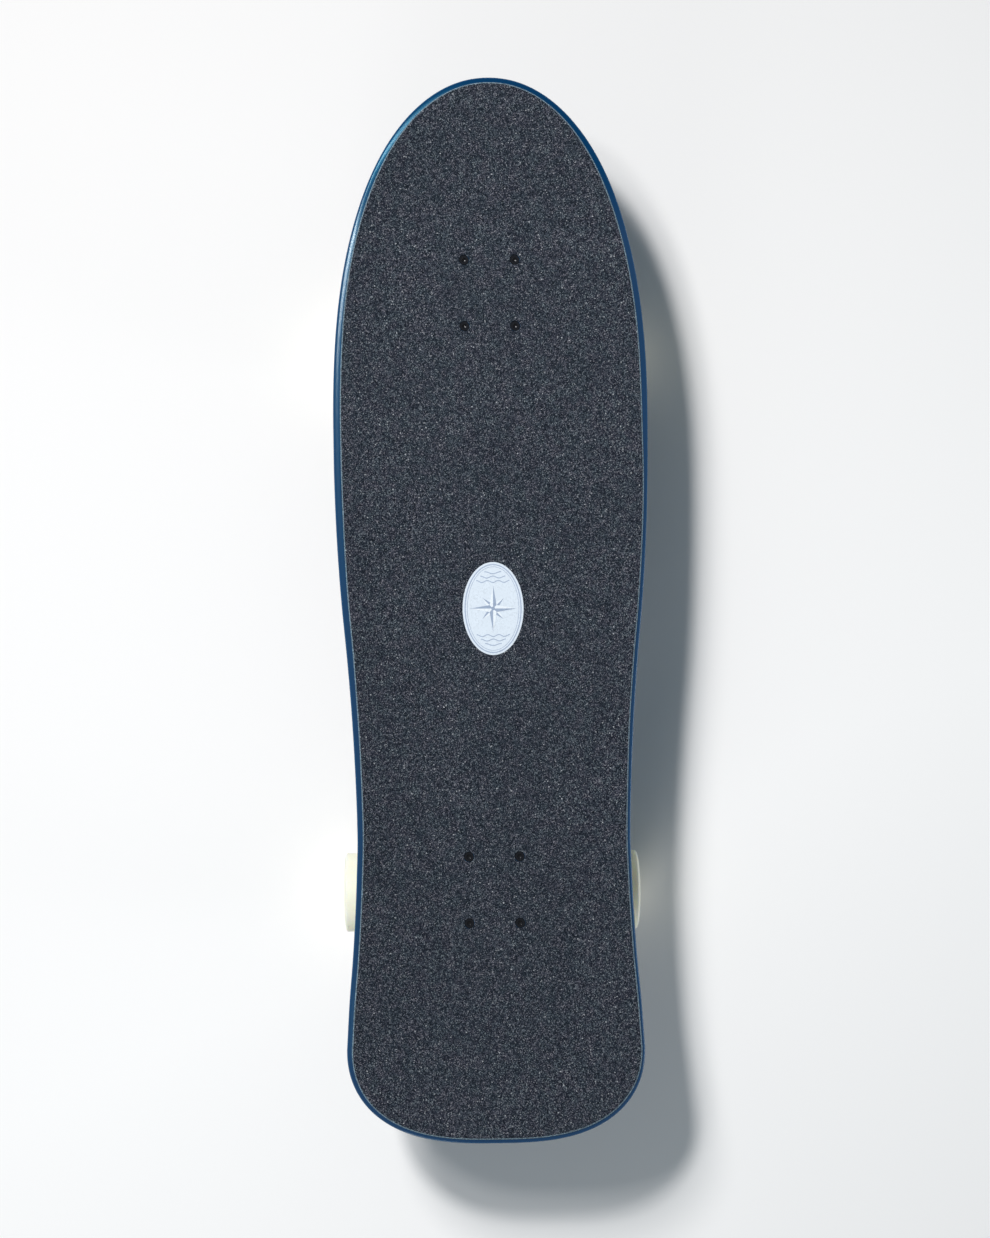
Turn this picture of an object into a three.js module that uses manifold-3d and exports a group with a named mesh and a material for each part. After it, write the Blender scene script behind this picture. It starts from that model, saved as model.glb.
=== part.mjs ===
// Surf skateboard: concave deck on a spring-centred swing-arm front truck and a fixed rear truck.
// Millimetres, +X to the nose, +Y to the rider's left, +Z up, origin on the floor below the deck's middle.
import * as THREE from "three";
import { mergeVertices } from "three/addons/utils/BufferGeometryUtils.js";
import Module from "manifold-3d";

const wasm = await Module();
wasm.setup();

// Clearances
const gap = 0.3;
const cutOver = 2;
const weld = 0.0001;
const bulk = 1000;
const seatReach = 200;

// Deck
const deckLength = 860;
const deckWidth = 256;
const deckThickness = 11;
const deckEdgeRadius = 3.2;
const concaveRise = 8.5;
const concaveFlatShare = 0.36;
const noseRoundLength = 282;
const noseRoundPowers = [2.42, 2.08];
const tailRoundLength = 73.6;
const tailHalfWidth = 120.4;
const tailRoundPowers = [2.16, 2.84];
const waistShares = [
  [0.3275, 1],
  [0.378, 0.9964],
  [0.434, 0.983],
  [0.49, 0.959],
  [0.55, 0.9225],
  [0.603, 0.896],
  [0.66, 0.8765],
  [0.716, 0.8665],
  [0.75, 0.8725],
  [0.782, 0.8812],
  [0.829, 0.901],
  [0.87, 0.9237],
  [0.9144, 0.9406],
];
const noseRampLength = 129;
const noseRampBlend = 60;
const noseRampSlope = 0.14;
const tailRampLength = 157;
const tailRampBlend = 80;
const tailRampSlope = 0.27;
const noseFadeLength = 95;
const tailFadeLength = 110;
const acrossShares = [-1, -0.82, -0.6, -0.36, 0, 0.36, 0.6, 0.82, 1];
const stationSteps = [13, 11, 9];

// Grip tape
const gripThickness = 0.9;
const gripInset = 4.1;

// Truck bolt pattern
const boltSpacingLong = 53.975;
const boltSpacingWide = 41.275;
const boltRadius = 2.4;
const boltHeadRadius = 4;
const boltHeadAngle = 82;
const boltSink = 0.4;
const boltSocketFlats = 3.2;
const boltSocketDepth = 2;
const boltEnd = 2;
const boltNutFlats = 9.5;
const boltNutHeight = 3.7;
const boltNutCollar = 1.4;
const frontPatternFromNose = 173.8;
const rearPatternFromTail = 200.4;

// Wheels, bearings and axles
const wheelRadius = 33;
const wheelWidth = 51;
const wheelLip = 9;
const wheelLipDepthShare = 0.3;
const wheelSideSlope = 1.4;
const wheelRecessRadius = 20;
const wheelRecessFloorRadius = 13;
const wheelCoreWidth = 24.6;
const wheelSides = 24;
const lipSteps = 3;
const bearingRadius = 11;
const bearingWidth = 7;
const bearingInnerRadius = 6;
const bearingShieldSink = 0.4;
const bearingRingWidth = 1;
const bearingCollar = 0.8;
const coreWebRadius = 9;
const axleRadius = 4;
const axleNutFlats = 13;
const axleNutHeight = 5;
const axleNutCollar = 2;
const axleEnd = 2.4;
const axleChamfer = 0.8;

// Hangers
const hangerHalf = 85.5;
const beamRadius = 9.5;
const beamEndRadius = 7.4;
const shoulderDepth = 11;
const shoulderHeights = [13.5, 6];
const shoulderReachShares = [0.2, 0.86];
const ringBack = 19;
const ringUp = 20;
const ringRadius = 17;
const ringThickness = 9;
const ringHoleRadius = 7.2;
const kingpinLean = THREE.MathUtils.degToRad(18);
const pivotLean = THREE.MathUtils.degToRad(36);
const pivotReach = 46;
const stubRadius = 5.5;
const stubLength = 10;
const neckHalfWidth = 8;
const neckRim = 0.8;

// Kingpins and bushings
const kingpinRadius = 4.8;
const kingpinHeadRadius = 8;
const kingpinHeadHeight = 6.5;
const kingpinCover = 1.2;
const kingpinNutFlats = 14.3;
const kingpinNutHeight = 6;
const kingpinNutCollar = 2;
const kingpinEnd = 2;
const bushingRadius = 12.5;
const bushingNeckRadius = 11.4;
const bushingTipRadius = 9.5;
const boardBushingHeight = 13;
const roadBushingHeight = 11;
const bushingBandShare = 0.2;
const washerRadius = 12;
const washerThickness = 2;
const seatRim = 0.7;

// Pivot cups and their sockets
const cupWall = 2.8;
const cupDepth = 7.5;
const cupFloor = 2.6;
const bossWall = 3;

// Base plates and risers
const plateLength = 84;
const plateWidth = 56;
const plateCorner = 11;
const plateThickness = 7;
const plateEdge = 1.2;
const spareHoleShift = 9.5;
const rearPlateTop = 61;
const rearAxleOffset = 9;
const ribWidth = 6;
const frontRiserHeight = 3;
const riserEdge = 0.6;
const riserWindowLength = 24;
const riserWindowWidth = 16;

// Swing arm and its pivot
const armTop = 59;
const armPlateGap = 10;
const armHalfWidth = 13;
const armTail = 17;
const armTrail = 48;
const armTopThickness = 10;
const pivotAheadOfPattern = 10;
const hubRadius = 20;
const hubBottom = 25;
const hubTop = 41;
const bossDepth = 5;
const sleeveRadius = 10;
const bushWall = 1.7;
const bushSides = 20;
const swingBoltRadius = 4.8;
const swingHeadFlats = 17;
const swingHeadHeight = 6.5;
const swingNutFlats = 15;
const swingNutHeight = 7;
const thrustWasherRadius = 15;
const thrustWasherThickness = 2.5;
const armPocketDepth = 3;
const armPocketMargin = 3.5;

// Centring spring
const wireRadius = 2.3;
const springRadius = 15.2;
const springTurns = 3.25;
const springSteps = 8;
const wireSides = 5;
const springTang = 5;

// Places that follow from the sizes above
const noseX = deckLength / 2;
const frontPatternX = noseX - frontPatternFromNose;
const rearPatternX = rearPatternFromTail - noseX;
const frontAxleX = frontPatternX + pivotAheadOfPattern - armTrail;
const rearAxleX = rearPatternX - rearAxleOffset;
const frontPlateTop = armTop + armPlateGap + plateThickness;
const deckUnderside = wheelRadius + frontPlateTop + frontRiserHeight;
const deckTop = deckUnderside + deckThickness;
const rearRiserHeight = deckUnderside - wheelRadius - rearPlateTop;
const wheelCentre = hangerHalf + gap + bearingCollar + wheelCoreWidth / 2 - gap;
const ringCentre = new THREE.Vector3(-ringBack, 0, ringUp);
const kingpinAxis = new THREE.Vector3(Math.sin(kingpinLean), 0, Math.cos(kingpinLean));
const acrossKingpin = new THREE.Vector3(Math.cos(kingpinLean), 0, -Math.sin(kingpinLean));
const pivotAxis = new THREE.Vector3(Math.cos(pivotLean), 0, Math.sin(pivotLean));
const acrossPivot = new THREE.Vector3(-Math.sin(pivotLean), 0, Math.cos(pivotLean));
const seatHeight = ringThickness / 2 + boardBushingHeight;
const cupInnerRadius = stubRadius + gap;
const cupOuterRadius = cupInnerRadius + cupWall;
const socketRadius = cupOuterRadius + gap;
const socketFloor = pivotReach + gap + cupFloor + gap;
const socketMouth = pivotReach - cupDepth;

// Solids from three.js geometry
function solidOf(geometry) {
  const plain = geometry.index ? geometry.toNonIndexed() : geometry.clone();
  for (const key of Object.keys(plain.attributes)) {
    if (key !== "position") plain.deleteAttribute(key);
  }
  const merged = mergeVertices(plain, weld);
  const corners = merged.index.array;
  const kept = [];
  for (let i = 0; i < corners.length; i += 3) {
    const [a, b, c] = [corners[i], corners[i + 1], corners[i + 2]];
    if (a !== b && b !== c && a !== c) kept.push(a, b, c);
  }
  const build = (triangles) =>
    new wasm.Manifold(
      new wasm.Mesh({
        numProp: 3,
        vertProperties: new Float32Array(merged.attributes.position.array),
        triVerts: new Uint32Array(triangles),
      }),
    );
  const made = build(kept);
  return made.volume() < 0 ? build(kept.reverse()) : made;
}

function joined(...solids) {
  return solids.reduce((sum, next) => sum.add(next));
}

function cut(solid, ...tools) {
  return tools.reduce((rest, tool) => rest.subtract(tool), solid);
}

function mesh(name, solid, look) {
  const result = solid.getMesh();
  const geometry = new THREE.BufferGeometry();
  geometry.setAttribute("position", new THREE.BufferAttribute(result.vertProperties, result.numProp));
  geometry.setIndex(new THREE.BufferAttribute(result.triVerts, 1));
  const flat = geometry.toNonIndexed();
  flat.computeVertexNormals();
  const made = new THREE.Mesh(flat, new THREE.MeshStandardMaterial(look));
  made.name = name;
  return made;
}

// Looks, as read from the photograph
const looks = {
  lacquer: { color: 0x12466e, roughness: 0.25, metalness: 0 },
  grip: { color: 0x3a3f46, roughness: 0.95, metalness: 0 },
  urethane: { color: 0xd8d2be, roughness: 0.45, metalness: 0 },
  blackSteel: { color: 0x0d0f12, roughness: 0.4, metalness: 0.8 },
  zinc: { color: 0xb4b8bc, roughness: 0.35, metalness: 0.9 },
  castAlloy: { color: 0xa4a8ac, roughness: 0.5, metalness: 0.9 },
  springSteel: { color: 0x2a2c30, roughness: 0.35, metalness: 0.8 },
  bronze: { color: 0x9a7440, roughness: 0.45, metalness: 0.9 },
  bushing: { color: 0xd6d2c4, roughness: 0.55, metalness: 0 },
  riser: { color: 0x17181a, roughness: 0.7, metalness: 0 },
  bearing: { color: 0xc2c5c8, roughness: 0.3, metalness: 0.9 },
};

// A profile of [radius, height] pairs turned about Z; it starts and ends on the axis or closes on itself
function turned(profile, sides) {
  const points = profile.map(([r, h]) => new THREE.Vector2(r, h));
  return new THREE.LatheGeometry(points, sides).rotateX(Math.PI / 2);
}

function ringProfile(inner, outer, low, high) {
  return [
    [inner, low],
    [outer, low],
    [outer, high],
    [inner, high],
    [inner, low],
  ];
}

function rodProfile(radius, low, high) {
  return [
    [0, low],
    [radius, low],
    [radius, high],
    [0, high],
  ];
}

function rod(radius, low, high, sides) {
  return turned(rodProfile(radius, low, high), sides);
}

// A cutter whose flats lie at the radius, so that a faceted hole is nowhere narrower than its size
function drill(radius, low, high, sides) {
  return rod(radius / Math.cos(Math.PI / sides), low, high, sides);
}

// A geometry built along +Z, moved so that its own origin and axis lie at a place and along a direction
function aimed(geometry, place, direction) {
  const turn = new THREE.Quaternion().setFromUnitVectors(new THREE.Vector3(0, 0, 1), direction);
  return geometry.applyQuaternion(turn).translate(place.x, place.y, place.z);
}

function along(start, direction, distance) {
  return start.clone().addScaledVector(direction, distance);
}

function hexagon(flats, low, high) {
  const corner = flats / 2 / Math.cos(Math.PI / 6);
  return rod(corner, low, high, 6);
}

function box(lengthX, lengthY, lengthZ, x, y, z) {
  return new THREE.BoxGeometry(lengthX, lengthY, lengthZ).translate(x, y, z);
}

// Everything below a height
function below(height) {
  return solidOf(box(bulk, bulk, bulk, 0, 0, height - bulk / 2));
}

// A side view of [x, z] points, widened to both sides of the middle plane
function sideView(points, halfWidth) {
  const shape = new THREE.Shape(points.map(([x, z]) => new THREE.Vector2(x, z)));
  const made = new THREE.ExtrudeGeometry(shape, { depth: 2 * halfWidth, bevelEnabled: false });
  return made.translate(0, 0, -halfWidth).rotateX(Math.PI / 2);
}

function roundedRectangle(length, width, radius, Kind) {
  const [x, y] = [length / 2 - radius, width / 2 - radius];
  const made = new Kind();
  made.absarc(x, y, radius, 0, Math.PI / 2);
  made.absarc(-x, y, radius, Math.PI / 2, Math.PI);
  made.absarc(-x, -y, radius, Math.PI, 1.5 * Math.PI);
  made.absarc(x, -y, radius, 1.5 * Math.PI, 2 * Math.PI);
  made.closePath();
  return made;
}

// The four bolt places of one pattern, about its own centre
function boltPlaces() {
  const places = [];
  for (const alongSign of [1, -1]) {
    for (const acrossSign of [1, -1]) {
      places.push([(alongSign * boltSpacingLong) / 2, (acrossSign * boltSpacingWide) / 2]);
    }
  }
  return places;
}

// The two holes of the older, longer pattern, at one end of the plate
function spareHolePlaces() {
  const x = boltSpacingLong / 2 + spareHoleShift;
  return [1, -1].map((side) => [-x, (side * boltSpacingWide) / 2]);
}

// A plate with eased rims and a hole at each of some places
function plate(low, high, edge, places) {
  const outline = roundedRectangle(plateLength, plateWidth, plateCorner, THREE.Shape);
  const made = new THREE.ExtrudeGeometry(outline, {
    depth: high - low - 2 * edge,
    bevelThickness: edge,
    bevelSize: edge,
    bevelOffset: -edge,
    bevelSegments: 1,
    curveSegments: 3,
  });
  const solid = solidOf(made.translate(0, 0, low + edge));
  const hole = drill(boltRadius + gap, low - cutOver, high + cutOver, 8);
  return cut(solid, ...places.map(([x, y]) => solidOf(hole.clone().translate(x, y, 0))));
}

// Deck surface
function smooth(share) {
  const t = THREE.MathUtils.clamp(share, 0, 1);
  return t * t * (3 - 2 * t);
}

function waistShare(share) {
  const last = waistShares.length - 2;
  let i = 0;
  while (i < last && waistShares[i + 1][0] < share) i += 1;
  const at = (k) => waistShares[THREE.MathUtils.clamp(k, 0, last + 1)];
  const slope = (k) => (at(k + 1)[1] - at(k - 1)[1]) / (at(k + 1)[0] - at(k - 1)[0]);
  const width = at(i + 1)[0] - at(i)[0];
  const t = (share - at(i)[0]) / width;
  const bend = (k) => slope(k) * width;
  const [t2, t3] = [t * t, t * t * t];
  return (
    (2 * t3 - 3 * t2 + 1) * at(i)[1] +
    (t3 - 2 * t2 + t) * bend(i) +
    (3 * t2 - 2 * t3) * at(i + 1)[1] +
    (t3 - t2) * bend(i + 1)
  );
}

function halfWidthAt(s) {
  if (s < noseRoundLength) {
    const rest = Math.pow(1 - s / noseRoundLength, noseRoundPowers[0]);
    return (deckWidth / 2) * Math.pow(Math.max(0, 1 - rest), 1 / noseRoundPowers[1]);
  }
  const tail = s - (deckLength - tailRoundLength);
  if (tail > 0) {
    const rest = Math.pow(Math.min(1, tail / tailRoundLength), tailRoundPowers[0]);
    return tailHalfWidth * Math.pow(Math.max(0, 1 - rest), 1 / tailRoundPowers[1]);
  }
  const first = waistShares[0][0];
  const last = waistShares[waistShares.length - 1][0];
  const span = deckLength - tailRoundLength - noseRoundLength;
  const share = first + ((s - noseRoundLength) / span) * (last - first);
  const endFit = tailHalfWidth - (deckWidth / 2) * waistShares[waistShares.length - 1][1];
  return (deckWidth / 2) * waistShare(share) + endFit * smooth((share - first) / (last - first));
}

function rampRise(run, blend, slope) {
  if (run <= 0) return 0;
  return run < blend ? (slope * run * run) / (2 * blend) : slope * (run - blend / 2);
}

function deckTopAt(s, y) {
  const rise =
    rampRise(noseRampLength - s, noseRampBlend, noseRampSlope) +
    rampRise(s - (deckLength - tailRampLength), tailRampBlend, tailRampSlope);
  const fade = smooth(s / noseFadeLength) * smooth((deckLength - s) / tailFadeLength);
  const out = Math.min(1, Math.abs(y) / Math.max(halfWidthAt(s), weld));
  const curl = Math.max(0, out - concaveFlatShare) / (1 - concaveFlatShare);
  return deckTop + rise + fade * concaveRise * curl * curl;
}

function stations(noseSteps, waistSteps, tailSteps) {
  const places = [];
  for (let i = 0; i < noseSteps; i += 1) places.push(noseRoundLength * (i / noseSteps) ** 2);
  const waistEnd = deckLength - tailRoundLength;
  for (let i = 0; i < waistSteps; i += 1) {
    places.push(noseRoundLength + ((waistEnd - noseRoundLength) * i) / waistSteps);
  }
  for (let i = 0; i <= tailSteps; i += 1) {
    places.push(deckLength - tailRoundLength * (1 - i / tailSteps) ** 2);
  }
  return places;
}

// The outline point of a station, moved square into the outline by an inset
function insetPoint(s, inset) {
  if (s <= 0) return [inset, 0];
  if (s >= deckLength) return [deckLength - inset, 0];
  const step = Math.min(s, deckLength - s, gap) / 2;
  const slope = (halfWidthAt(s + step) - halfWidthAt(s - step)) / (2 * step);
  const size = Math.hypot(slope, 1);
  return [s + (inset * slope) / size, Math.max(0, halfWidthAt(s) - inset / size)];
}

// A skin that follows the deck's top: levels of [inset, height above the top], from the upper rim to the lower
function deckSkin(levels, places) {
  const positions = [];
  const triangles = [];
  const point = (s, y, lift) => {
    positions.push(noseX - s, y, deckTopAt(s, y) + lift);
    return positions.length / 3 - 1;
  };
  const quad = (a, b, c, d) => triangles.push(a, b, c, a, c, d);
  const rims = levels.map(([inset, lift]) =>
    places.map((place) => {
      const [s, w] = insetPoint(place, inset);
      return [point(s, -w, lift), point(s, w, lift)];
    }),
  );
  for (let level = 0; level < rims.length - 1; level += 1) {
    const [upper, lower] = [rims[level], rims[level + 1]];
    for (let i = 0; i < places.length - 1; i += 1) {
      quad(upper[i][0], upper[i + 1][0], lower[i + 1][0], lower[i][0]);
      quad(upper[i + 1][1], upper[i][1], lower[i][1], lower[i + 1][1]);
    }
  }
  for (const [level, flip] of [
    [0, false],
    [levels.length - 1, true],
  ]) {
    const [inset, lift] = levels[level];
    const rows = places.map((place) => {
      const [s, w] = insetPoint(place, inset);
      return acrossShares.map((share) => point(s, share * w, lift));
    });
    for (let i = 0; i < rows.length - 1; i += 1) {
      for (let j = 0; j < acrossShares.length - 1; j += 1) {
        const [a, b, c, d] = [rows[i][j], rows[i][j + 1], rows[i + 1][j + 1], rows[i + 1][j]];
        if (flip) quad(a, d, c, b);
        else quad(a, b, c, d);
      }
    }
  }
  const made = new THREE.BufferGeometry();
  made.setAttribute("position", new THREE.Float32BufferAttribute(positions, 3));
  made.setIndex(triangles);
  return made;
}

function boltColumns(profile) {
  const column = turned(profile, 10);
  return [frontPatternX, rearPatternX].flatMap((patternX) =>
    boltPlaces().map(([x, y]) => solidOf(column.clone().translate(patternX + x, y, 0))),
  );
}

const headTan = Math.tan(THREE.MathUtils.degToRad(boltHeadAngle / 2));
const gripTop = deckTop + gap + gripThickness;
const headTop = gripTop - boltSink;
const headConeDepth = (boltHeadRadius - boltRadius) / headTan;

function deckSolid() {
  const curve = Math.SQRT1_2;
  const corner = deckEdgeRadius * (1 - curve);
  const levels = [
    [deckEdgeRadius, 0],
    [corner, -corner],
    [0, -deckEdgeRadius],
    [0, deckEdgeRadius - deckThickness],
    [corner, corner - deckThickness],
    [deckEdgeRadius, -deckThickness],
  ];
  const body = solidOf(deckSkin(levels, stations(...stationSteps)));
  const coneTop = boltHeadRadius + gap;
  const coneBase = headTop - headConeDepth - gap;
  const coneRise = (coneTop - boltRadius - gap) / headTan;
  return cut(
    body,
    ...boltColumns([
      [0, deckUnderside - cutOver],
      [boltRadius + gap, deckUnderside - cutOver],
      [boltRadius + gap, coneBase],
      [coneTop, coneBase + coneRise],
      [coneTop, deckTop + cutOver],
      [0, deckTop + cutOver],
    ]),
  );
}

function gripSolid() {
  const levels = [
    [gripInset, gap + gripThickness],
    [gripInset, gap],
  ];
  const body = solidOf(deckSkin(levels, stations(...stationSteps)));
  const hole = rodProfile(boltHeadRadius + gap, deckTop - cutOver, gripTop + cutOver);
  return cut(body, ...boltColumns(hole));
}

// A countersunk bolt with a hexagon socket, its head's face at its own origin
function deckBolt(length) {
  const body = solidOf(
    turned(
      [
        [0, -length],
        [boltRadius, -length],
        [boltRadius, -headConeDepth],
        [boltHeadRadius, 0],
        [0, 0],
      ],
      10,
    ),
  );
  return cut(body, solidOf(hexagon(boltSocketFlats, -boltSocketDepth, cutOver)));
}

// A lock nut standing on its own origin, its round collar away from the joint face
function lockNut(flats, height, collar, boreRadius) {
  const body = joined(
    solidOf(hexagon(flats, -height, 0)),
    solidOf(rod(flats / 2 - gap, -height - collar, -height / 2, 10)),
  );
  return cut(body, solidOf(drill(boreRadius, -height - collar - cutOver, cutOver, 8)));
}

// Riser pads: a plate with a window in its middle
function riser(height) {
  const window = roundedRectangle(riserWindowLength, riserWindowWidth, riserWindowWidth / 3, THREE.Shape);
  const windowCut = new THREE.ExtrudeGeometry(window, {
    depth: height + 2 * cutOver,
    bevelEnabled: false,
    curveSegments: 3,
  });
  return cut(plate(0, height, riserEdge, boltPlaces()), solidOf(windowCut.translate(0, 0, -cutOver)));
}

// Wheels: the side walls are flat facets as far from the axle as the wheel's radius
function wheelSolid() {
  const half = wheelWidth / 2;
  const facet = 1 / Math.cos(Math.PI / wheelSides);
  const seat = wheelCoreWidth / 2 - bearingCollar;
  const lipDepth = wheelLip * wheelLipDepthShare;
  const lip = [];
  for (let i = 0; i <= lipSteps; i += 1) {
    const angle = (i / lipSteps) * (Math.PI / 2);
    lip.push([wheelRadius - wheelLip * (1 - Math.cos(angle)), half - lipDepth * (1 - Math.sin(angle))]);
  }
  const side = [
    ...lip,
    [wheelRecessRadius, half - wheelSideSlope],
    [wheelRecessFloorRadius, seat + gap],
    [bearingRadius + gap, seat + gap],
    [bearingRadius + gap, seat - bearingWidth - gap],
    [coreWebRadius, seat - bearingWidth - gap],
  ];
  const other = side.map(([r, h]) => [r, -h]).reverse();
  const profile = [...side, ...other, side[0]].map(([r, h]) => [r * facet, h]);
  return solidOf(turned(profile, wheelSides).rotateZ(Math.PI / wheelSides));
}

// A bearing with its half spacer and speed ring in one, from the wheel's middle outwards along its axis
function bearingSolid() {
  const outer = wheelCoreWidth / 2;
  const face = outer - bearingCollar;
  const ring = bearingRadius - bearingRingWidth;
  return solidOf(
    turned(
      [
        [axleRadius + gap, gap / 2],
        [bearingInnerRadius, gap / 2],
        [bearingInnerRadius, face - bearingWidth],
        [bearingRadius, face - bearingWidth],
        [bearingRadius, face],
        [ring, face],
        [ring, face - bearingShieldSink],
        [bearingInnerRadius, face - bearingShieldSink],
        [bearingInnerRadius, outer],
        [axleRadius + gap, outer],
        [axleRadius + gap, gap / 2],
      ],
      12,
    ),
  );
}

// Axle: a plain rod with chamfered ends, along its own Z
function axleSolid() {
  const end = wheelCentre + wheelCoreWidth / 2 + gap + axleNutHeight + axleNutCollar + axleEnd;
  const tip = axleRadius - axleChamfer;
  return solidOf(
    turned(
      [
        [0, -end],
        [tip, -end],
        [axleRadius, axleChamfer - end],
        [axleRadius, end - axleChamfer],
        [tip, end],
        [0, end],
      ],
      12,
    ),
  );
}

const lengthwise = new THREE.Vector3(0, 1, 0);
const upright = new THREE.Vector3(0, 0, 1);
const axleLine = new THREE.Vector3(0, 0, 0);

// Hanger: tapered beam with shoulders, bushing ring, and the neck that ends in the pivot stub
function hangerSolid() {
  const beam = solidOf(
    aimed(
      turned(
        [
          [0, -hangerHalf],
          [beamEndRadius, -hangerHalf],
          [beamEndRadius, -hangerHalf * shoulderReachShares[1]],
          [beamRadius, 0],
          [beamEndRadius, hangerHalf * shoulderReachShares[1]],
          [beamEndRadius, hangerHalf],
          [0, hangerHalf],
        ],
        16,
      ),
      axleLine,
      lengthwise,
    ),
  );
  const [inner, outer] = shoulderReachShares.map((share) => share * hangerHalf);
  const [high, low] = shoulderHeights;
  const outline = new THREE.Shape(
    [
      [-outer, -low / 2],
      [outer, -low / 2],
      [outer, low],
      [inner, high],
      [-inner, high],
      [-outer, low],
    ].map(([y, z]) => new THREE.Vector2(y, z)),
  );
  const shoulders = new THREE.ExtrudeGeometry(outline, { depth: shoulderDepth, bevelEnabled: false })
    .translate(0, 0, -shoulderDepth / 2)
    .rotateX(Math.PI / 2)
    .rotateZ(Math.PI / 2);
  const ring = aimed(rod(ringRadius, -ringThickness / 2, ringThickness / 2, 24), ringCentre, kingpinAxis);
  const hole = aimed(drill(ringHoleRadius, -ringThickness, ringThickness, 14), ringCentre, kingpinAxis);
  const stubStart = along(ringCentre, pivotAxis, pivotReach - stubLength);
  const stub = solidOf(
    aimed(
      turned(
        [
          [0, -stubLength / 3],
          [stubRadius, -stubLength / 3],
          [stubRadius, stubLength - stubRadius],
          [stubRadius * Math.cos(Math.PI / 6), stubLength - stubRadius / 2],
          [stubRadius / 2, stubLength - stubRadius * (1 - Math.cos(Math.PI / 6))],
          [0, stubLength],
        ],
        14,
      ),
      stubStart,
      pivotAxis,
    ),
  );
  const ringEdge = along(ringCentre, acrossKingpin, ringRadius - ringThickness / 2);
  const ringTip = along(ringCentre, acrossKingpin, ringRadius);
  const stubInner = along(stubStart, acrossPivot, stubRadius + neckRim);
  const stubOuter = along(stubStart, acrossPivot, -stubRadius - neckRim);
  const neck = solidOf(
    sideView(
      [
        [ringEdge.x, ringEdge.z - ringThickness / 2],
        [0, -beamRadius / 2],
        [beamRadius * Math.cos(Math.PI / 6), beamRadius / 2],
        [(beamRadius + stubOuter.x) / 2, (beamRadius + stubOuter.z) / 2],
        [stubOuter.x, stubOuter.z],
        [stubInner.x, stubInner.z],
        [(ringTip.x + stubInner.x) / 2, (ringTip.z + stubInner.z) / 2],
        [ringTip.x, ringTip.z + ringThickness / 2],
        [ringEdge.x, ringEdge.z + ringThickness / 2],
      ],
      neckHalfWidth,
    ),
  );
  const bore = aimed(drill(axleRadius + gap, -bulk / 2, bulk / 2, 12), axleLine, lengthwise);
  return cut(joined(beam, solidOf(shoulders), solidOf(ring), stub, neck), solidOf(hole), solidOf(bore));
}

// The kingpin's shank runs from its head in the plate or arm down to its nut
function kingpinTop(top) {
  const seatCentre = along(ringCentre, kingpinAxis, seatHeight);
  const lift = (top - kingpinCover - seatCentre.z - kingpinHeadRadius * Math.sin(kingpinLean)) / kingpinAxis.z;
  return seatHeight + lift;
}

const nutTop = -ringThickness / 2 - roadBushingHeight - washerThickness;

function kingpinSolid(top) {
  const headTopAt = kingpinTop(top);
  const end = nutTop - gap - kingpinNutHeight - kingpinNutCollar - kingpinEnd;
  return joined(
    solidOf(rod(kingpinRadius, end, headTopAt, 12)),
    solidOf(rod(kingpinHeadRadius, headTopAt - kingpinHeadHeight, headTopAt, 12)),
  );
}

// Bushings: the board side one is a barrel, the road side one a cone
function boardBushing() {
  const [low, high] = [ringThickness / 2 + gap, seatHeight - gap];
  const middle = (low + high) / 2;
  const band = boardBushingHeight * bushingBandShare;
  const hole = kingpinRadius + gap;
  return solidOf(
    turned(
      [
        [hole, low],
        [bushingRadius, low],
        [bushingRadius, low + band],
        [bushingNeckRadius, middle],
        [bushingRadius, high - band],
        [bushingRadius, high],
        [hole, high],
        [hole, low],
      ],
      14,
    ),
  );
}

function roadBushing() {
  const high = -ringThickness / 2 - gap;
  const low = -ringThickness / 2 - roadBushingHeight + gap;
  const hole = kingpinRadius + gap;
  return solidOf(
    turned(
      [
        [hole, low],
        [bushingTipRadius, low],
        [bushingRadius, high - roadBushingHeight * bushingBandShare],
        [bushingRadius, high],
        [hole, high],
        [hole, low],
      ],
      14,
    ),
  );
}

function cupWasher() {
  const top = -ringThickness / 2 - roadBushingHeight;
  const hole = kingpinRadius + gap;
  const rim = washerRadius - washerThickness;
  return solidOf(
    turned(
      [
        [hole, top - washerThickness],
        [rim, top - washerThickness],
        [washerRadius, top - washerThickness / 2],
        [washerRadius, top + washerThickness / 2],
        [washerRadius - washerThickness / 2, top + washerThickness / 2],
        [rim, top],
        [hole, top],
        [hole, top - washerThickness],
      ],
      14,
    ),
  );
}

// Pivot cup: a closed sleeve round the hanger's stub, along the pivot axis from the ring's centre
function pivotCup() {
  const shell = [
    [0, pivotReach + gap],
    [cupInnerRadius / 2, pivotReach + gap],
    [cupInnerRadius, pivotReach + gap - stubRadius / 2],
    [cupInnerRadius, socketMouth],
    [cupOuterRadius, socketMouth],
    [cupOuterRadius, pivotReach + gap + cupFloor],
    [0, pivotReach + gap + cupFloor],
  ];
  return solidOf(turned(shell, 16));
}

// What the rear plate and the swing arm share: the bushing seat and the pivot cup's boss, cut at a top face
function truckSeats(top) {
  const post = solidOf(aimed(rod(bushingRadius + seatRim, seatHeight, seatReach, 20), ringCentre, kingpinAxis));
  const boss = solidOf(
    aimed(rod(socketRadius + bossWall, socketMouth, socketFloor + bossWall, 20), ringCentre, pivotAxis),
  );
  return joined(post, boss).intersect(below(top));
}

function truckSeatCuts(top) {
  const headTopAt = kingpinTop(top);
  const shank = drill(kingpinRadius + gap, -seatReach, seatReach, 12);
  const head = drill(kingpinHeadRadius + gap, headTopAt - kingpinHeadHeight - gap, seatReach, 12);
  const socket = drill(socketRadius, socketMouth - 2 * cutOver, socketFloor, 16);
  return [
    solidOf(aimed(shank, ringCentre, kingpinAxis)),
    solidOf(aimed(head, ringCentre, kingpinAxis)),
    solidOf(aimed(socket, ringCentre, pivotAxis)),
  ];
}

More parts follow.
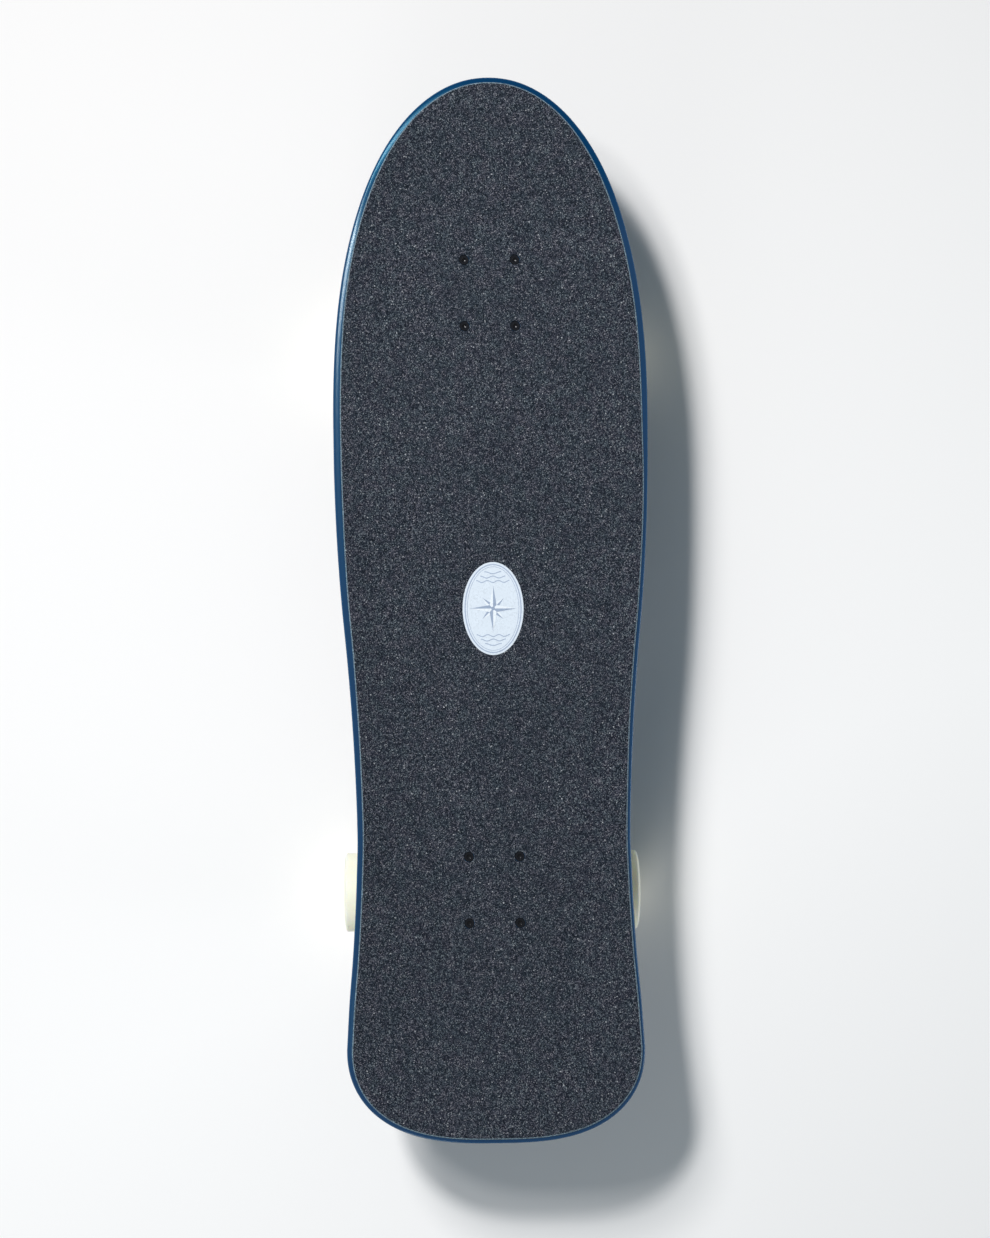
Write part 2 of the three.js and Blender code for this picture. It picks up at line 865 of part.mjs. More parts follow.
// The plate of both castings, with the deck's four bolt holes and the two spare ones
function castPlate(top) {
  return plate(top - plateThickness, top, plateEdge, [...boltPlaces(), ...spareHolePlaces()]);
}

// Rear base plate, about the rear axle: the plate, the two seats and a rib between them
function rearBasePlate() {
  const slab = castPlate(rearPlateTop);
  const placed = slab.translate([-rearAxleOffset, 0, 0]);
  const seatCentre = along(ringCentre, kingpinAxis, seatHeight);
  const bossMouth = along(ringCentre, pivotAxis, socketMouth);
  const ribLow = rearPlateTop - 2 * plateThickness;
  const rib = solidOf(
    sideView(
      [
        [seatCentre.x, rearPlateTop - plateThickness / 2],
        [seatCentre.x - bushingRadius - 2 * ribWidth, rearPlateTop - plateThickness / 2],
        [seatCentre.x - bushingRadius, ribLow],
        [seatCentre.x, ribLow],
        [bossMouth.x, ribLow + plateThickness / 2],
        [bossMouth.x, rearPlateTop - plateThickness / 2],
      ],
      ribWidth / 2,
    ),
  );
  return cut(joined(placed, truckSeats(rearPlateTop), rib), ...truckSeatCuts(rearPlateTop));
}

// Front base plate, about the front axle: plate, round boss and the sleeve that the arm turns on
function frontBasePlate() {
  const plateBottom = frontPlateTop - plateThickness;
  const bossBottom = plateBottom - bossDepth;
  const slab = castPlate(frontPlateTop).translate([armTrail - pivotAheadOfPattern, 0, 0]);
  const about = (geometry) => solidOf(geometry.translate(armTrail, 0, 0));
  const boss = about(rod(hubRadius, bossBottom, plateBottom + gap, 28));
  const sleeve = about(rod(sleeveRadius, hubBottom - gap, plateBottom, bushSides));
  const bore = about(drill(swingBoltRadius + gap, -bulk, bulk, 12));
  const pocket = about(hexagon(swingNutFlats + 2 * gap, frontPlateTop - swingNutHeight - 2 * gap, bulk));
  const tang = springTangHole(bossBottom - cutOver, bossBottom + springTang + gap, springTurns);
  return cut(joined(slab, boss, sleeve), bore, pocket, tang);
}

function springTangHole(low, high, turns) {
  const angle = turns * 2 * Math.PI;
  const made = drill(wireRadius + gap, low, high, 8);
  return solidOf(
    made.translate(armTrail + springRadius * Math.cos(angle), springRadius * Math.sin(angle), 0),
  );
}

// Swing arm, about the front axle: hub on the sleeve, raised web, and the seats that carry the hanger
function swingArm() {
  const seatCentre = along(ringCentre, kingpinAxis, seatHeight);
  const mouthLow = along(along(ringCentre, pivotAxis, socketMouth), acrossPivot, -socketRadius - bossWall);
  const springSpace = springRadius + wireRadius + 2 * gap;
  const hub = solidOf(rod(hubRadius, hubBottom, hubTop, 28).translate(armTrail, 0, 0));
  const web = solidOf(
    sideView(
      [
        [armTrail, hubBottom],
        [armTrail - hubRadius, hubBottom],
        [mouthLow.x, mouthLow.z],
        [mouthLow.x, armTop],
        [armTrail, armTop],
      ],
      armHalfWidth,
    ),
  );
  const spine = solidOf(
    sideView(
      [
        [seatCentre.x - armTail, armTop - armTopThickness / 2],
        [seatCentre.x - armTail / 2, armTop - armTopThickness],
        [mouthLow.x, armTop - armTopThickness],
        [mouthLow.x, armTop],
        [seatCentre.x - armTail, armTop],
      ],
      armHalfWidth,
    ),
  );
  const springCut = solidOf(drill(springSpace, hubTop, bulk, 24).translate(armTrail, 0, 0));
  const boreRadius = sleeveRadius + 2 * gap + bushWall;
  const bore = solidOf(drill(boreRadius, -bulk, bulk, bushSides).translate(armTrail, 0, 0));
  const tang = springTangHole(hubTop - springTang - gap, hubTop + cutOver, 0);
  const pockets = [1, -1].map((side) => {
    const start = mouthLow.x + armPocketMargin;
    const end = armTrail - springSpace - armPocketMargin;
    const low = hubTop - armPocketMargin;
    const high = armTop - armPocketMargin;
    const made = box(end - start, 2 * armPocketDepth, high - low, (start + end) / 2, 0, (low + high) / 2);
    return solidOf(made.translate(0, side * armHalfWidth, 0));
  });
  const body = joined(hub, web, spine, truckSeats(armTop));
  return cut(body, springCut, bore, tang, ...truckSeatCuts(armTop), ...pockets);
}

// The swing pivot's hardware, about the front axle
function swingBolt() {
  const headTopAt = hubBottom - gap - thrustWasherThickness - 2 * gap;
  const body = joined(
    solidOf(hexagon(swingHeadFlats, headTopAt - swingHeadHeight, headTopAt)),
    solidOf(rod(swingBoltRadius, headTopAt - swingHeadHeight / 2, frontPlateTop - gap, 12)),
  );
  return body.translate([armTrail, 0, 0]);
}

function swingNut() {
  const body = solidOf(hexagon(swingNutFlats, frontPlateTop - swingNutHeight - gap, frontPlateTop - gap));
  const bore = solidOf(drill(swingBoltRadius + gap, 0, bulk, 12));
  return cut(body, bore).translate([armTrail, 0, 0]);
}

function swingBush() {
  const inner = (sleeveRadius + gap) / Math.cos(Math.PI / bushSides);
  const outer = sleeveRadius + gap + bushWall;
  return solidOf(turned(ringProfile(inner, outer, hubBottom, hubTop), bushSides).translate(armTrail, 0, 0));
}

function thrustWasher() {
  const top = hubBottom - 2 * gap;
  const made = ringProfile(swingBoltRadius + gap, thrustWasherRadius, top - thrustWasherThickness, top);
  return solidOf(turned(made, 20).translate(armTrail, 0, 0));
}

// Centring spring: one wire from a straight tang in the arm's hub, round the sleeve, to a tang in the boss
function springPath() {
  const bend = wireRadius + gap;
  const bossBottom = frontPlateTop - plateThickness - bossDepth;
  const [low, high] = [hubTop + bend, bossBottom - bend];
  const bendAngle = bend / springRadius;
  const points = [
    { angle: 0, height: hubTop - springTang },
    { angle: 0, height: hubTop },
    { angle: bendAngle * (1 - Math.SQRT1_2), height: hubTop + bend * Math.SQRT1_2 },
  ];
  const total = springTurns * 2 * Math.PI;
  const count = Math.round(springTurns * springSteps);
  for (let i = 0; i <= count; i += 1) {
    const angle = bendAngle + ((total - 2 * bendAngle) * i) / count;
    points.push({ angle, height: low + ((high - low) * i) / count });
  }
  points.push({ angle: total - bendAngle * (1 - Math.SQRT1_2), height: bossBottom - bend * Math.SQRT1_2 });
  points.push({ angle: total, height: bossBottom });
  points.push({ angle: total, height: bossBottom + springTang });
  return points.map(({ angle, height }) => ({
    outward: new THREE.Vector3(Math.cos(angle), Math.sin(angle), 0),
    place: new THREE.Vector3(springRadius * Math.cos(angle), springRadius * Math.sin(angle), height),
  }));
}

function centringSpring() {
  const path = springPath();
  const positions = [];
  const triangles = [];
  path.forEach(({ place, outward }, i) => {
    const before = path[Math.max(0, i - 1)].place;
    const after = path[Math.min(path.length - 1, i + 1)].place;
    const side = new THREE.Vector3().subVectors(after, before).normalize().cross(outward).normalize();
    for (let k = 0; k < wireSides; k += 1) {
      const angle = (k / wireSides) * 2 * Math.PI;
      const point = along(along(place, outward, wireRadius * Math.cos(angle)), side, wireRadius * Math.sin(angle));
      positions.push(point.x + armTrail, point.y, point.z);
    }
  });
  const at = (i, k) => i * wireSides + (k % wireSides);
  for (let i = 0; i < path.length - 1; i += 1) {
    for (let k = 0; k < wireSides; k += 1) {
      triangles.push(at(i, k), at(i, k + 1), at(i + 1, k + 1), at(i, k), at(i + 1, k + 1), at(i + 1, k));
    }
  }
  for (let k = 1; k < wireSides - 1; k += 1) {
    triangles.push(at(0, 0), at(0, k + 1), at(0, k));
    const last = path.length - 1;
    triangles.push(at(last, 0), at(last, k), at(last, k + 1));
  }
  const made = new THREE.BufferGeometry();
  made.setAttribute("position", new THREE.Float32BufferAttribute(positions, 3));
  made.setIndex(triangles);
  return solidOf(made);
}

// The least gap between coils, measured on the path more than half a turn apart
function springGap() {
  const path = springPath();
  let least = Infinity;
  path.forEach((one, i) => {
    for (let j = i + springSteps / 2; j < path.length; j += 1) {
      least = Math.min(least, one.place.distanceTo(path[j].place));
    }
  });
  return least - 2 * wireRadius;
}
console.log("least gap between the spring's coils: " + springGap().toFixed(2) + " mm");

// Hardware and wheels that both trucks carry
function truckGroup(name, top) {
  const group = new THREE.Group();
  const onKingpin = (label, solid, look) => {
    const made = mesh(name + "_" + label, solid, look);
    made.position.copy(ringCentre);
    made.quaternion.setFromUnitVectors(upright, kingpinAxis);
    return made;
  };
  const nut = lockNut(kingpinNutFlats, kingpinNutHeight, kingpinNutCollar, kingpinRadius + gap);
  const axle = mesh(name + "_axle", axleSolid(), looks.zinc);
  axle.quaternion.setFromUnitVectors(upright, lengthwise);
  const cup = mesh(name + "_pivot_cup", pivotCup(), looks.bushing);
  cup.position.copy(ringCentre);
  cup.quaternion.setFromUnitVectors(upright, pivotAxis);
  group.add(
    mesh(name + "_hanger", hangerSolid(), looks.castAlloy),
    axle,
    cup,
    onKingpin("kingpin", kingpinSolid(top), looks.zinc),
    onKingpin("kingpin_nut", nut.translate([0, 0, nutTop - gap]), looks.zinc),
    onKingpin("board_side_bushing", boardBushing(), looks.bushing),
    onKingpin("road_side_bushing", roadBushing(), looks.bushing),
    onKingpin("cup_washer", cupWasher(), looks.zinc),
  );
  return group;
}

function addWheels(board, name, axleX) {
  for (const [side, sign] of [
    ["left", 1],
    ["right", -1],
  ]) {
    const group = new THREE.Group();
    group.position.set(axleX, sign * wheelCentre, wheelRadius);
    group.quaternion.setFromUnitVectors(upright, new THREE.Vector3(0, sign, 0));
    const inner = mesh(`${name}_${side}_inner_bearing`, bearingSolid(), looks.bearing);
    inner.rotation.x = Math.PI;
    const nut = lockNut(axleNutFlats, axleNutHeight, axleNutCollar, axleRadius + gap);
    const axleNut = mesh(`${name}_${side}_axle_nut`, nut, looks.zinc);
    axleNut.rotation.x = Math.PI;
    axleNut.position.z = wheelCoreWidth / 2 + gap;
    group.add(
      mesh(`${name}_${side}_wheel`, wheelSolid(), looks.urethane),
      inner,
      mesh(`${name}_${side}_outer_bearing`, bearingSolid(), looks.bearing),
      axleNut,
    );
    board.add(group);
  }
}

function addDeckBolts(board, name, patternX, plateBottom) {
  const nutFace = wheelRadius + plateBottom - gap;
  const nutEnd = nutFace - boltNutHeight - boltNutCollar;
  boltPlaces().forEach(([x, y], i) => {
    const bolt = mesh(`${name}_deck_bolt_${i + 1}`, deckBolt(headTop - nutEnd + boltEnd), looks.blackSteel);
    bolt.position.set(patternX + x, y, headTop);
    const nut = mesh(
      `${name}_deck_nut_${i + 1}`,
      lockNut(boltNutFlats, boltNutHeight, boltNutCollar, boltRadius + gap),
      looks.blackSteel,
    );
    nut.position.set(patternX + x, y, nutFace);
    board.add(bolt, nut);
  });
}

function board() {
  const whole = new THREE.Group();
  whole.add(mesh("deck", deckSolid(), looks.lacquer), mesh("grip_tape", gripSolid(), looks.grip));

  const frontRiser = mesh("front_riser_pad", riser(frontRiserHeight), looks.riser);
  frontRiser.position.set(frontPatternX, 0, wheelRadius + frontPlateTop);
  const rearRiser = mesh("rear_riser_pad", riser(rearRiserHeight), looks.riser);
  rearRiser.position.set(rearPatternX, 0, wheelRadius + rearPlateTop);
  whole.add(frontRiser, rearRiser);

  const front = truckGroup("front", armTop);
  front.position.set(frontAxleX, 0, wheelRadius);
  front.add(
    mesh("front_base_plate", frontBasePlate(), looks.castAlloy),
    mesh("swing_arm", swingArm(), looks.castAlloy),
    mesh("swing_pivot_bolt", swingBolt(), looks.zinc),
    mesh("swing_pivot_nut", swingNut(), looks.zinc),
    mesh("swing_bush", swingBush(), looks.bronze),
    mesh("swing_thrust_washer", thrustWasher(), looks.bronze),
    mesh("centring_spring", centringSpring(), looks.springSteel),
  );

  const rear = truckGroup("rear", rearPlateTop);
  rear.position.set(rearAxleX, 0, wheelRadius);
  rear.rotation.z = Math.PI;
  rear.add(mesh("rear_base_plate", rearBasePlate(), looks.castAlloy));
  whole.add(front, rear);

  addWheels(whole, "front", frontAxleX);
  addWheels(whole, "rear", rearAxleX);
  addDeckBolts(whole, "front", frontPatternX, frontPlateTop - plateThickness);
  addDeckBolts(whole, "rear", rearPatternX, rearPlateTop - plateThickness);
  return whole;
}

const group = board();
export default group;
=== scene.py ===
# Surf skateboard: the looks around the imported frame. Shapes are written in millimetres, +X to the nose.
from math import cos, hypot, pi, radians, sin, tan, tau

import bmesh
import bpy
from mathutils import Euler, Matrix, Vector


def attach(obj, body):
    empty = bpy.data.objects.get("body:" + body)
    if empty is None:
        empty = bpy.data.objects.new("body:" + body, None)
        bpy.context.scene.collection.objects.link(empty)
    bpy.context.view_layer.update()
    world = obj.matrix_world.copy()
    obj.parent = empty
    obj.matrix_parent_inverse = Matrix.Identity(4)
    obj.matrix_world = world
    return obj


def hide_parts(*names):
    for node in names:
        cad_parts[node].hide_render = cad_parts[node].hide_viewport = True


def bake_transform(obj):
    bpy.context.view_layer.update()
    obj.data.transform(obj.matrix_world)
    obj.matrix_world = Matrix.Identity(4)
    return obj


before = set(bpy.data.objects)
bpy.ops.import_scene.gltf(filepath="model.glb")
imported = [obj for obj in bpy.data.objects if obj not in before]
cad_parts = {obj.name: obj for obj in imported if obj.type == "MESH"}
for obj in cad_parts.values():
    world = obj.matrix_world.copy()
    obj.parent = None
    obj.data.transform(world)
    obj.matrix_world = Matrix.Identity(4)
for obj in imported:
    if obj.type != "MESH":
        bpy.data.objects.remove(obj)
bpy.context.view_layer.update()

# Units, mesh detail and clearances
MM = 0.001
GAP = 0.3
FIT = GAP / 3
CUT_OVER = 2.0
TINY = 0.0001
SKIN_WELD = 0.004
SKIN_SLIVER = 0.002
THREAD_DEPTH_SHARE = 0.5
THREAD_STEPS = 5
THREAD_LEAST = 8
SHARP_ANGLE = radians(32)
FINE_SIDES = 72
ROUND_SIDES = 48
SMALL_SIDES = 28
CORNER_STEPS = 4
CORNER_REACH = 0.45
BOX_STEPS = 6
EASED_SHARE = 0.3

# Deck
DECK_LENGTH = 860.0
DECK_WIDTH = 256.0
DECK_THICKNESS = 11.0
DECK_UNDERSIDE = 112.0
DECK_TOP = DECK_UNDERSIDE + DECK_THICKNESS
EDGE_RADIUS = 3.2
EDGE_ROLL = ((5.3, 0.0), (5.0, 0.04), (4.6, 0.14), (4.0, 0.33), (3.3, 0.57), (2.5, 0.87), (1.7, 1.19))
EDGE_TURN = radians(22)
CONCAVE_RISE = 8.5
CONCAVE_FLAT_SHARE = 0.36
NOSE_ROUND_LENGTH = 282.0
NOSE_ROUND_POWERS = (2.42, 2.08)
TAIL_ROUND_LENGTH = 73.6
TAIL_HALF_WIDTH = 120.4
TAIL_ROUND_POWERS = (2.16, 2.84)
WAIST_END = DECK_LENGTH - TAIL_ROUND_LENGTH
WAIST_SHARES = (
    (0.3275, 1.0), (0.378, 0.9964), (0.434, 0.983), (0.49, 0.959), (0.55, 0.9225), (0.603, 0.896),
    (0.66, 0.8765), (0.716, 0.8665), (0.75, 0.8725), (0.782, 0.8812), (0.829, 0.901), (0.87, 0.9237),
    (0.9144, 0.9406),
)
NOSE_RAMP = (129.0, 60.0, 0.14)
TAIL_RAMP = (157.0, 80.0, 0.27)
NOSE_FADE = 95.0
TAIL_FADE = 110.0
STATION_STEPS = (64, 84, 40)
ACROSS_STEPS = 40
EDGE_STEPS = 7
PLY_COUNT = 7
PLY_GROOVE = 0.1
PLY_GROOVE_WIDTH = 0.24

# Grip tape: the rim that it leaves bare, at places along the deck from the nose, left and right
GRIP_THICKNESS = 0.9
GRIP_TOP = DECK_TOP + GAP + GRIP_THICKNESS
GRIP_INSETS = (
    (0.0, 4.5, 4.5), (120.0, 4.6, 5.2), (251.0, 5.6, 5.1), (350.0, 5.9, 3.3), (448.0, 5.3, 3.4),
    (513.0, 4.7, 3.5), (600.0, 4.5, 2.9), (700.0, 4.3, 2.6), (780.0, 4.1, 2.6), (860.0, 3.6, 3.6),
)
GRIP_FILED = 0.9
GRIP_FILED_DROP = 0.5
GRIP_DRILL = 15.0

# Emblem
EMBLEM_LENGTH = 75.6
EMBLEM_WIDTH = 49.6
EMBLEM_PLACE = (-1.0, -0.7)
EMBLEM_LAYER = 0.05
EMBLEM_RINGS = (1.6, 2.5, 3.6, 4.0)
EMBLEM_RAYS = 4
EMBLEM_LONG_RAYS = (19.0, 4.0)
EMBLEM_SHORT_RAYS = (12.5, 3.5)
EMBLEM_HUB = 1.5
EMBLEM_WAVES = (22.0, 3.6, 27.0, 1.6, 0.8)
WAVE_STEPS = 14
WAVE_ROWS = 3

# Truck bolts
BOLT_SPACING = (53.975, 41.275)
BOLT_RADIUS = 2.4
BOLT_HOLE = BOLT_RADIUS + GAP
BOLT_HEAD_RADIUS = 4.0
BOLT_HEAD_TAN = tan(radians(41))
BOLT_SINK = 0.4
BOLT_SOCKET_FLATS = 3.2
BOLT_SOCKET_DEPTH = 2.0
BOLT_END = 2.0
BOLT_PITCH = 0.8
BOLT_NUT = (9.5, 3.7, 1.4)
BOLT_SIDES = 36
BOLT_THREAD = 14.0
BOLT_HEAD_EDGE = 0.5
NUT_EDGE = 0.6
NUT_SLOPE = 0.58
HEAD_TOP = GRIP_TOP - BOLT_SINK
HEAD_CONE = (BOLT_HEAD_RADIUS - BOLT_RADIUS) / BOLT_HEAD_TAN

# Places of the trucks
TRUCKS = ("front", "rear")
WHEEL_RADIUS = 33.0
PATTERN_X = {"front": 256.2, "rear": -229.6}
AXLE_X = {"front": 218.2, "rear": -238.6}
PLATE_TOP = {"front": 76.0, "rear": 61.0}
SEAT_TOP = {"front": 59.0, "rear": 61.0}
TURN = {"front": 0.0, "rear": pi}

# Wheels, bearings, axles
WHEEL_WIDTH = 51.0
WHEEL_CENTRE = 98.6
WHEEL_LIP = 9.0
WHEEL_SIDE_SLOPE = 1.4
RECESS_RADIUS = 20.0
RECESS_FLOOR = 13.0
CORE_WIDTH = 24.6
BEARING_RADIUS = 11.0
BEARING_WIDTH = 7.0
BEARING_INNER = 6.0
BEARING_COLLAR = 0.8
WEB_RADIUS = 9.0
AXLE_RADIUS = 4.0
AXLE_NUT = (13.0, 5.0, 2.0)
AXLE_END = 2.4
AXLE_CHAMFER = 0.8
AXLE_PITCH = 1.05
WHEEL_SIDES = 120
LIP_STEPS = 14
LIP_DEPTH_SHARE = 0.3
DISH_EDGE = 0.9
RACE_WIDTH = 1.6
RACE_STEP = 0.35
SHIELD_SINK = 0.4
ROAD_SHARE = 0.985

# Hangers
HANGER_HALF = 85.5
BEAM_RADIUS = 9.5
BEAM_END_RADIUS = 7.4
SHOULDER_DEPTH = 11.0
SHOULDER_HEIGHTS = (13.5, 6.0)
SHOULDER_REACH = (17.1, 73.5)
RING_BACK = 19.0
RING_UP = 20.0
RING_RADIUS = 17.0
RING_THICKNESS = 9.0
RING_HOLE = 7.2
KINGPIN_LEAN = radians(18)
PIVOT_LEAN = radians(36)
PIVOT_REACH = 46.0
STUB_RADIUS = 5.5
STUB_LENGTH = 10.0
NECK_HALF = 8.0

# Kingpins, bushings and pivot cups
KINGPIN_RADIUS = 4.8
KINGPIN_HEAD = (8.0, 6.5)
KINGPIN_COVER = 1.2
KINGPIN_NUT = (14.3, 6.0, 2.0)
KINGPIN_END = 2.0
KINGPIN_PITCH = 1.06
BUSHING_RADIUS = 12.5
BUSHING_NECK = 11.4
BUSHING_TIP = 9.5
BOARD_BUSHING = 13.0
ROAD_BUSHING = 11.0
WASHER_RADIUS = 12.0
WASHER_THICKNESS = 2.0
SEAT_RIM = 0.7
CUP_WALL = 2.8
CUP_DEPTH = 7.5
CUP_FLOOR = 2.6
BOSS_WALL = 3.0
BUSHING_EDGE = 1.0
BUSHING_BAND_SHARE = 0.2

# Base plates, risers
PLATE_LENGTH = 84.0
PLATE_WIDTH = 56.0
PLATE_CORNER = 11.0
PLATE_THICKNESS = 7.0
PLATE_SHIFT = {"front": 38.0, "rear": -9.0}
RIB_WIDTH = 6.0
RISER_HEIGHT = {"front": 3.0, "rear": 18.0}
RISER_WINDOW = (24.0, 16.0)
RISER_EDGE = 0.6
PLATE_EDGE = 1.2
SPARE_HOLE_SHIFT = 9.5

# Swing arm and its pivot
ARM_TRAIL = 48.0
ARM_HALF = 13.0
ARM_TAIL = 17.0
ARM_TOP_THICKNESS = 10.0
HUB_RADIUS = 20.0
HUB_BOTTOM = 25.0
HUB_TOP = 41.0
BOSS_DEPTH = 5.0
SLEEVE_RADIUS = 10.0
BUSH_WALL = 1.7
SWING_BOLT_RADIUS = 4.8
SWING_HEAD = (17.0, 6.5)
SWING_NUT = (15.0, 7.0)
THRUST_RADIUS = 15.0
THRUST_THICKNESS = 2.5
POCKET_DEPTH = 3.0
POCKET_MARGIN = 3.5

# Centring spring
WIRE_RADIUS = 2.3
SPRING_RADIUS = 15.2
SPRING_TURNS = 3.25
SPRING_TANG = 5.0
SPRING_STEPS = 36
WIRE_SIDES = 16

# Cast surfaces: the grid they are rounded on and how much
CAST_GRID = 0.75
CAST_ROUNDS = 9
CAST_EASE = 0.5

# Directions and places inside one truck, about its axle
RING_CENTRE = Vector((-RING_BACK, 0, RING_UP))
KINGPIN_AXIS = Vector((sin(KINGPIN_LEAN), 0, cos(KINGPIN_LEAN)))
ACROSS_KINGPIN = Vector((cos(KINGPIN_LEAN), 0, -sin(KINGPIN_LEAN)))
PIVOT_AXIS = Vector((cos(PIVOT_LEAN), 0, sin(PIVOT_LEAN)))
ACROSS_PIVOT = Vector((-sin(PIVOT_LEAN), 0, cos(PIVOT_LEAN)))
RING_HALF = RING_THICKNESS / 2
SEAT_HEIGHT = RING_HALF + BOARD_BUSHING
SEAT = RING_CENTRE + KINGPIN_AXIS * SEAT_HEIGHT
CUP_INNER = STUB_RADIUS + GAP
CUP_OUTER = CUP_INNER + CUP_WALL
SOCKET_RADIUS = CUP_OUTER + GAP
SOCKET_FLOOR = PIVOT_REACH + GAP + CUP_FLOOR + GAP
SOCKET_MOUTH = PIVOT_REACH - CUP_DEPTH
BOSS_RADIUS = SOCKET_RADIUS + BOSS_WALL
NUT_TOP = -RING_HALF - ROAD_BUSHING - WASHER_THICKNESS
UP = Vector((0, 0, 1))
ALONG_Y = Vector((0, 1, 0))


def shift(x=0.0, y=0.0, z=0.0):
    return Matrix.Translation((x, y, z))


def aimed(place, direction):
    return Matrix.Translation(place) @ UP.rotation_difference(direction).to_matrix().to_4x4()


def truck_place(name):
    return shift(AXLE_X[name], 0, WHEEL_RADIUS) @ Matrix.Rotation(TURN[name], 4, "Z")


def along_axis(matrix, heights):
    return [matrix @ Vector((0, 0, height)) for height in heights]


ON_AXLE = aimed((0, 0, 0), ALONG_Y)
ON_KINGPIN = aimed(RING_CENTRE, KINGPIN_AXIS)
ON_PIVOT = aimed(RING_CENTRE, PIVOT_AXIS)
ON_SWING = shift(ARM_TRAIL)
FLIP = Matrix.Rotation(pi, 4, "X")


# Shapes: each is a list of points, a list of faces and one material number per face
def around(radius, angle, *height):
    return (radius * cos(angle), radius * sin(angle), *height)


def circle(radius, height, sides=FINE_SIDES):
    return [around(radius, tau * k / sides, height) for k in range(sides)]


def circles(pairs, sides=FINE_SIDES):
    return [circle(radius, height, sides) for radius, height in pairs]


def hex_ring(flats, limit, height, sides=FINE_SIDES):
    """A hexagon whose corners reach no further than the limit."""
    made = []
    for k in range(sides):
        angle = tau * k / sides
        sector = (angle + pi / 6) % (pi / 3) - pi / 6
        made.append(around(min(flats / 2 / cos(sector), limit), angle, height))
    return made


def skin(points, rows, bands=None):
    """Faces between closed rows of point numbers; a row of one repeated number is a pole."""
    faces = []
    marks = []
    for i, (low, high) in enumerate(zip(rows, rows[1:])):
        for k in range(len(low)):
            n = (k + 1) % len(low)
            face = [low[k], low[n], high[n], high[k]]
            face = [v for j, v in enumerate(face) if v != face[j - 1]]
            if len(face) > 2:
                faces.append(face)
                marks.append(bands[i] if bands else 0)
    return points, faces, marks


def turned(profile, sides=ROUND_SIDES, bands=None):
    """A profile of (radius, height) pairs turned about Z, from axis to axis or closed on itself."""
    points = []
    rows = []
    ring = profile[0] == profile[-1]
    for radius, height in profile[:-1] if ring else profile:
        if radius < TINY:
            rows.append([len(points)] * sides)
            points.append((0.0, 0.0, height))
        else:
            rows.append(list(range(len(points), len(points) + sides)))
            points += circle(radius, height, sides)
    if ring:
        rows.append(rows[0])
    return skin(points, rows, bands)


def stacked(rings, closed=False, bands=None):
    """Rings of points joined in order, with flat ends or closed on itself."""
    points = [tuple(p) for ring in rings for p in ring]
    count = len(rings[0])
    rows = [list(range(i * count, (i + 1) * count)) for i in range(len(rings))]
    if closed:
        rows.append(rows[0])
    points, faces, marks = skin(points, rows, bands)
    if not closed:
        faces += [rows[0][::-1], rows[-1]]
        marks += [bands[0] if bands else 0, bands[-1] if bands else 0]
    return points, faces, marks


def moved(shape, matrix):
    points, faces, marks = shape
    return [tuple(matrix @ Vector(p)) for p in points], faces, marks


def merged(*shapes):
    points, faces, marks = [], [], []
    for more, polygons, numbers in shapes:
        start = len(points)
        points += list(more)
        faces += [[v + start for v in face] for face in polygons]
        marks += list(numbers)
    return points, faces, marks


def scattered(shape, places, height=0.0):
    return merged(*[moved(shape, shift(x, y, height)) for x, y in places])


def rod(radius, low, high, at=None, sides=FINE_SIDES):
    made = stacked(circles([(radius, low), (radius, high)], sides))
    return made if at is None else moved(made, at)


def rounded(profile, radius):
    """The profile with its corners rounded, apart from open ends."""
    ring = profile[0] == profile[-1]
    corners = [Vector(p) for p in (profile[:-1] if ring else profile)]
    made = []
    for i, corner in enumerate(corners):
        if not ring and i in (0, len(corners) - 1):
            made.append(tuple(corner))
            continue
        before = corners[i - 1] - corner
        after = corners[(i + 1) % len(corners)] - corner
        reach = min(radius, before.length * CORNER_REACH, after.length * CORNER_REACH)
        start = corner + before.normalized() * reach
        end = corner + after.normalized() * reach
        for k in range(CORNER_STEPS + 1):
            t = k / CORNER_STEPS
            made.append(tuple(start * (1 - t) ** 2 + corner * 2 * t * (1 - t) + end * t * t))
    if ring:
        made.append(made[0])
    return made


def box_outline(length, width, radius, height):
    made = []
    for quarter, (sx, sy) in enumerate(((1, 1), (-1, 1), (-1, -1), (1, -1))):
        x = sx * (length / 2 - radius)
        y = sy * (width / 2 - radius)
        for k in range(BOX_STEPS + 1):
            angle = (quarter + k / BOX_STEPS) * pi / 2
            made.append((x + radius * cos(angle), y + radius * sin(angle), height))
    return made


def slab(length, width, radius, low, high, edge):
    """A plate with rounded corners and eased edges."""
    bit = edge * EASED_SHARE
    rise = [(edge, low), (bit, low + bit), (0, low + edge)]
    rest = [(0, high - edge), (bit, high - bit), (edge, high)]
    return stacked([box_outline(length - 2 * i, width - 2 * i, radius - i, h) for i, h in rise + rest])


def side_view(outline, half):
    """An outline of (x, z) pairs, counterclockwise seen from -Y, widened to both sides."""
    return stacked([[(x, y, z) for x, z in outline] for y in (half, -half)])


def thread_rings(radius, low, high, pitch, sides=FINE_SIDES):
    """Rings of a screw thread whose ends run out into the plain rod."""
    depth = pitch * THREAD_DEPTH_SHARE
    steps = max(THREAD_LEAST, round((high - low) / pitch * THREAD_STEPS))
    rings = []
    for i in range(steps + 1):
        height = low + (high - low) * i / steps
        fade = min(1.0, i / THREAD_STEPS, (steps - i) / THREAD_STEPS)
        ring = []
        for k in range(sides):
            phase = (height / pitch - k / sides) % 1.0
            r = radius - depth * fade * (1 - abs(2 * phase - 1))
            ring.append(around(r, tau * k / sides, height))
        rings.append(ring)
    return rings


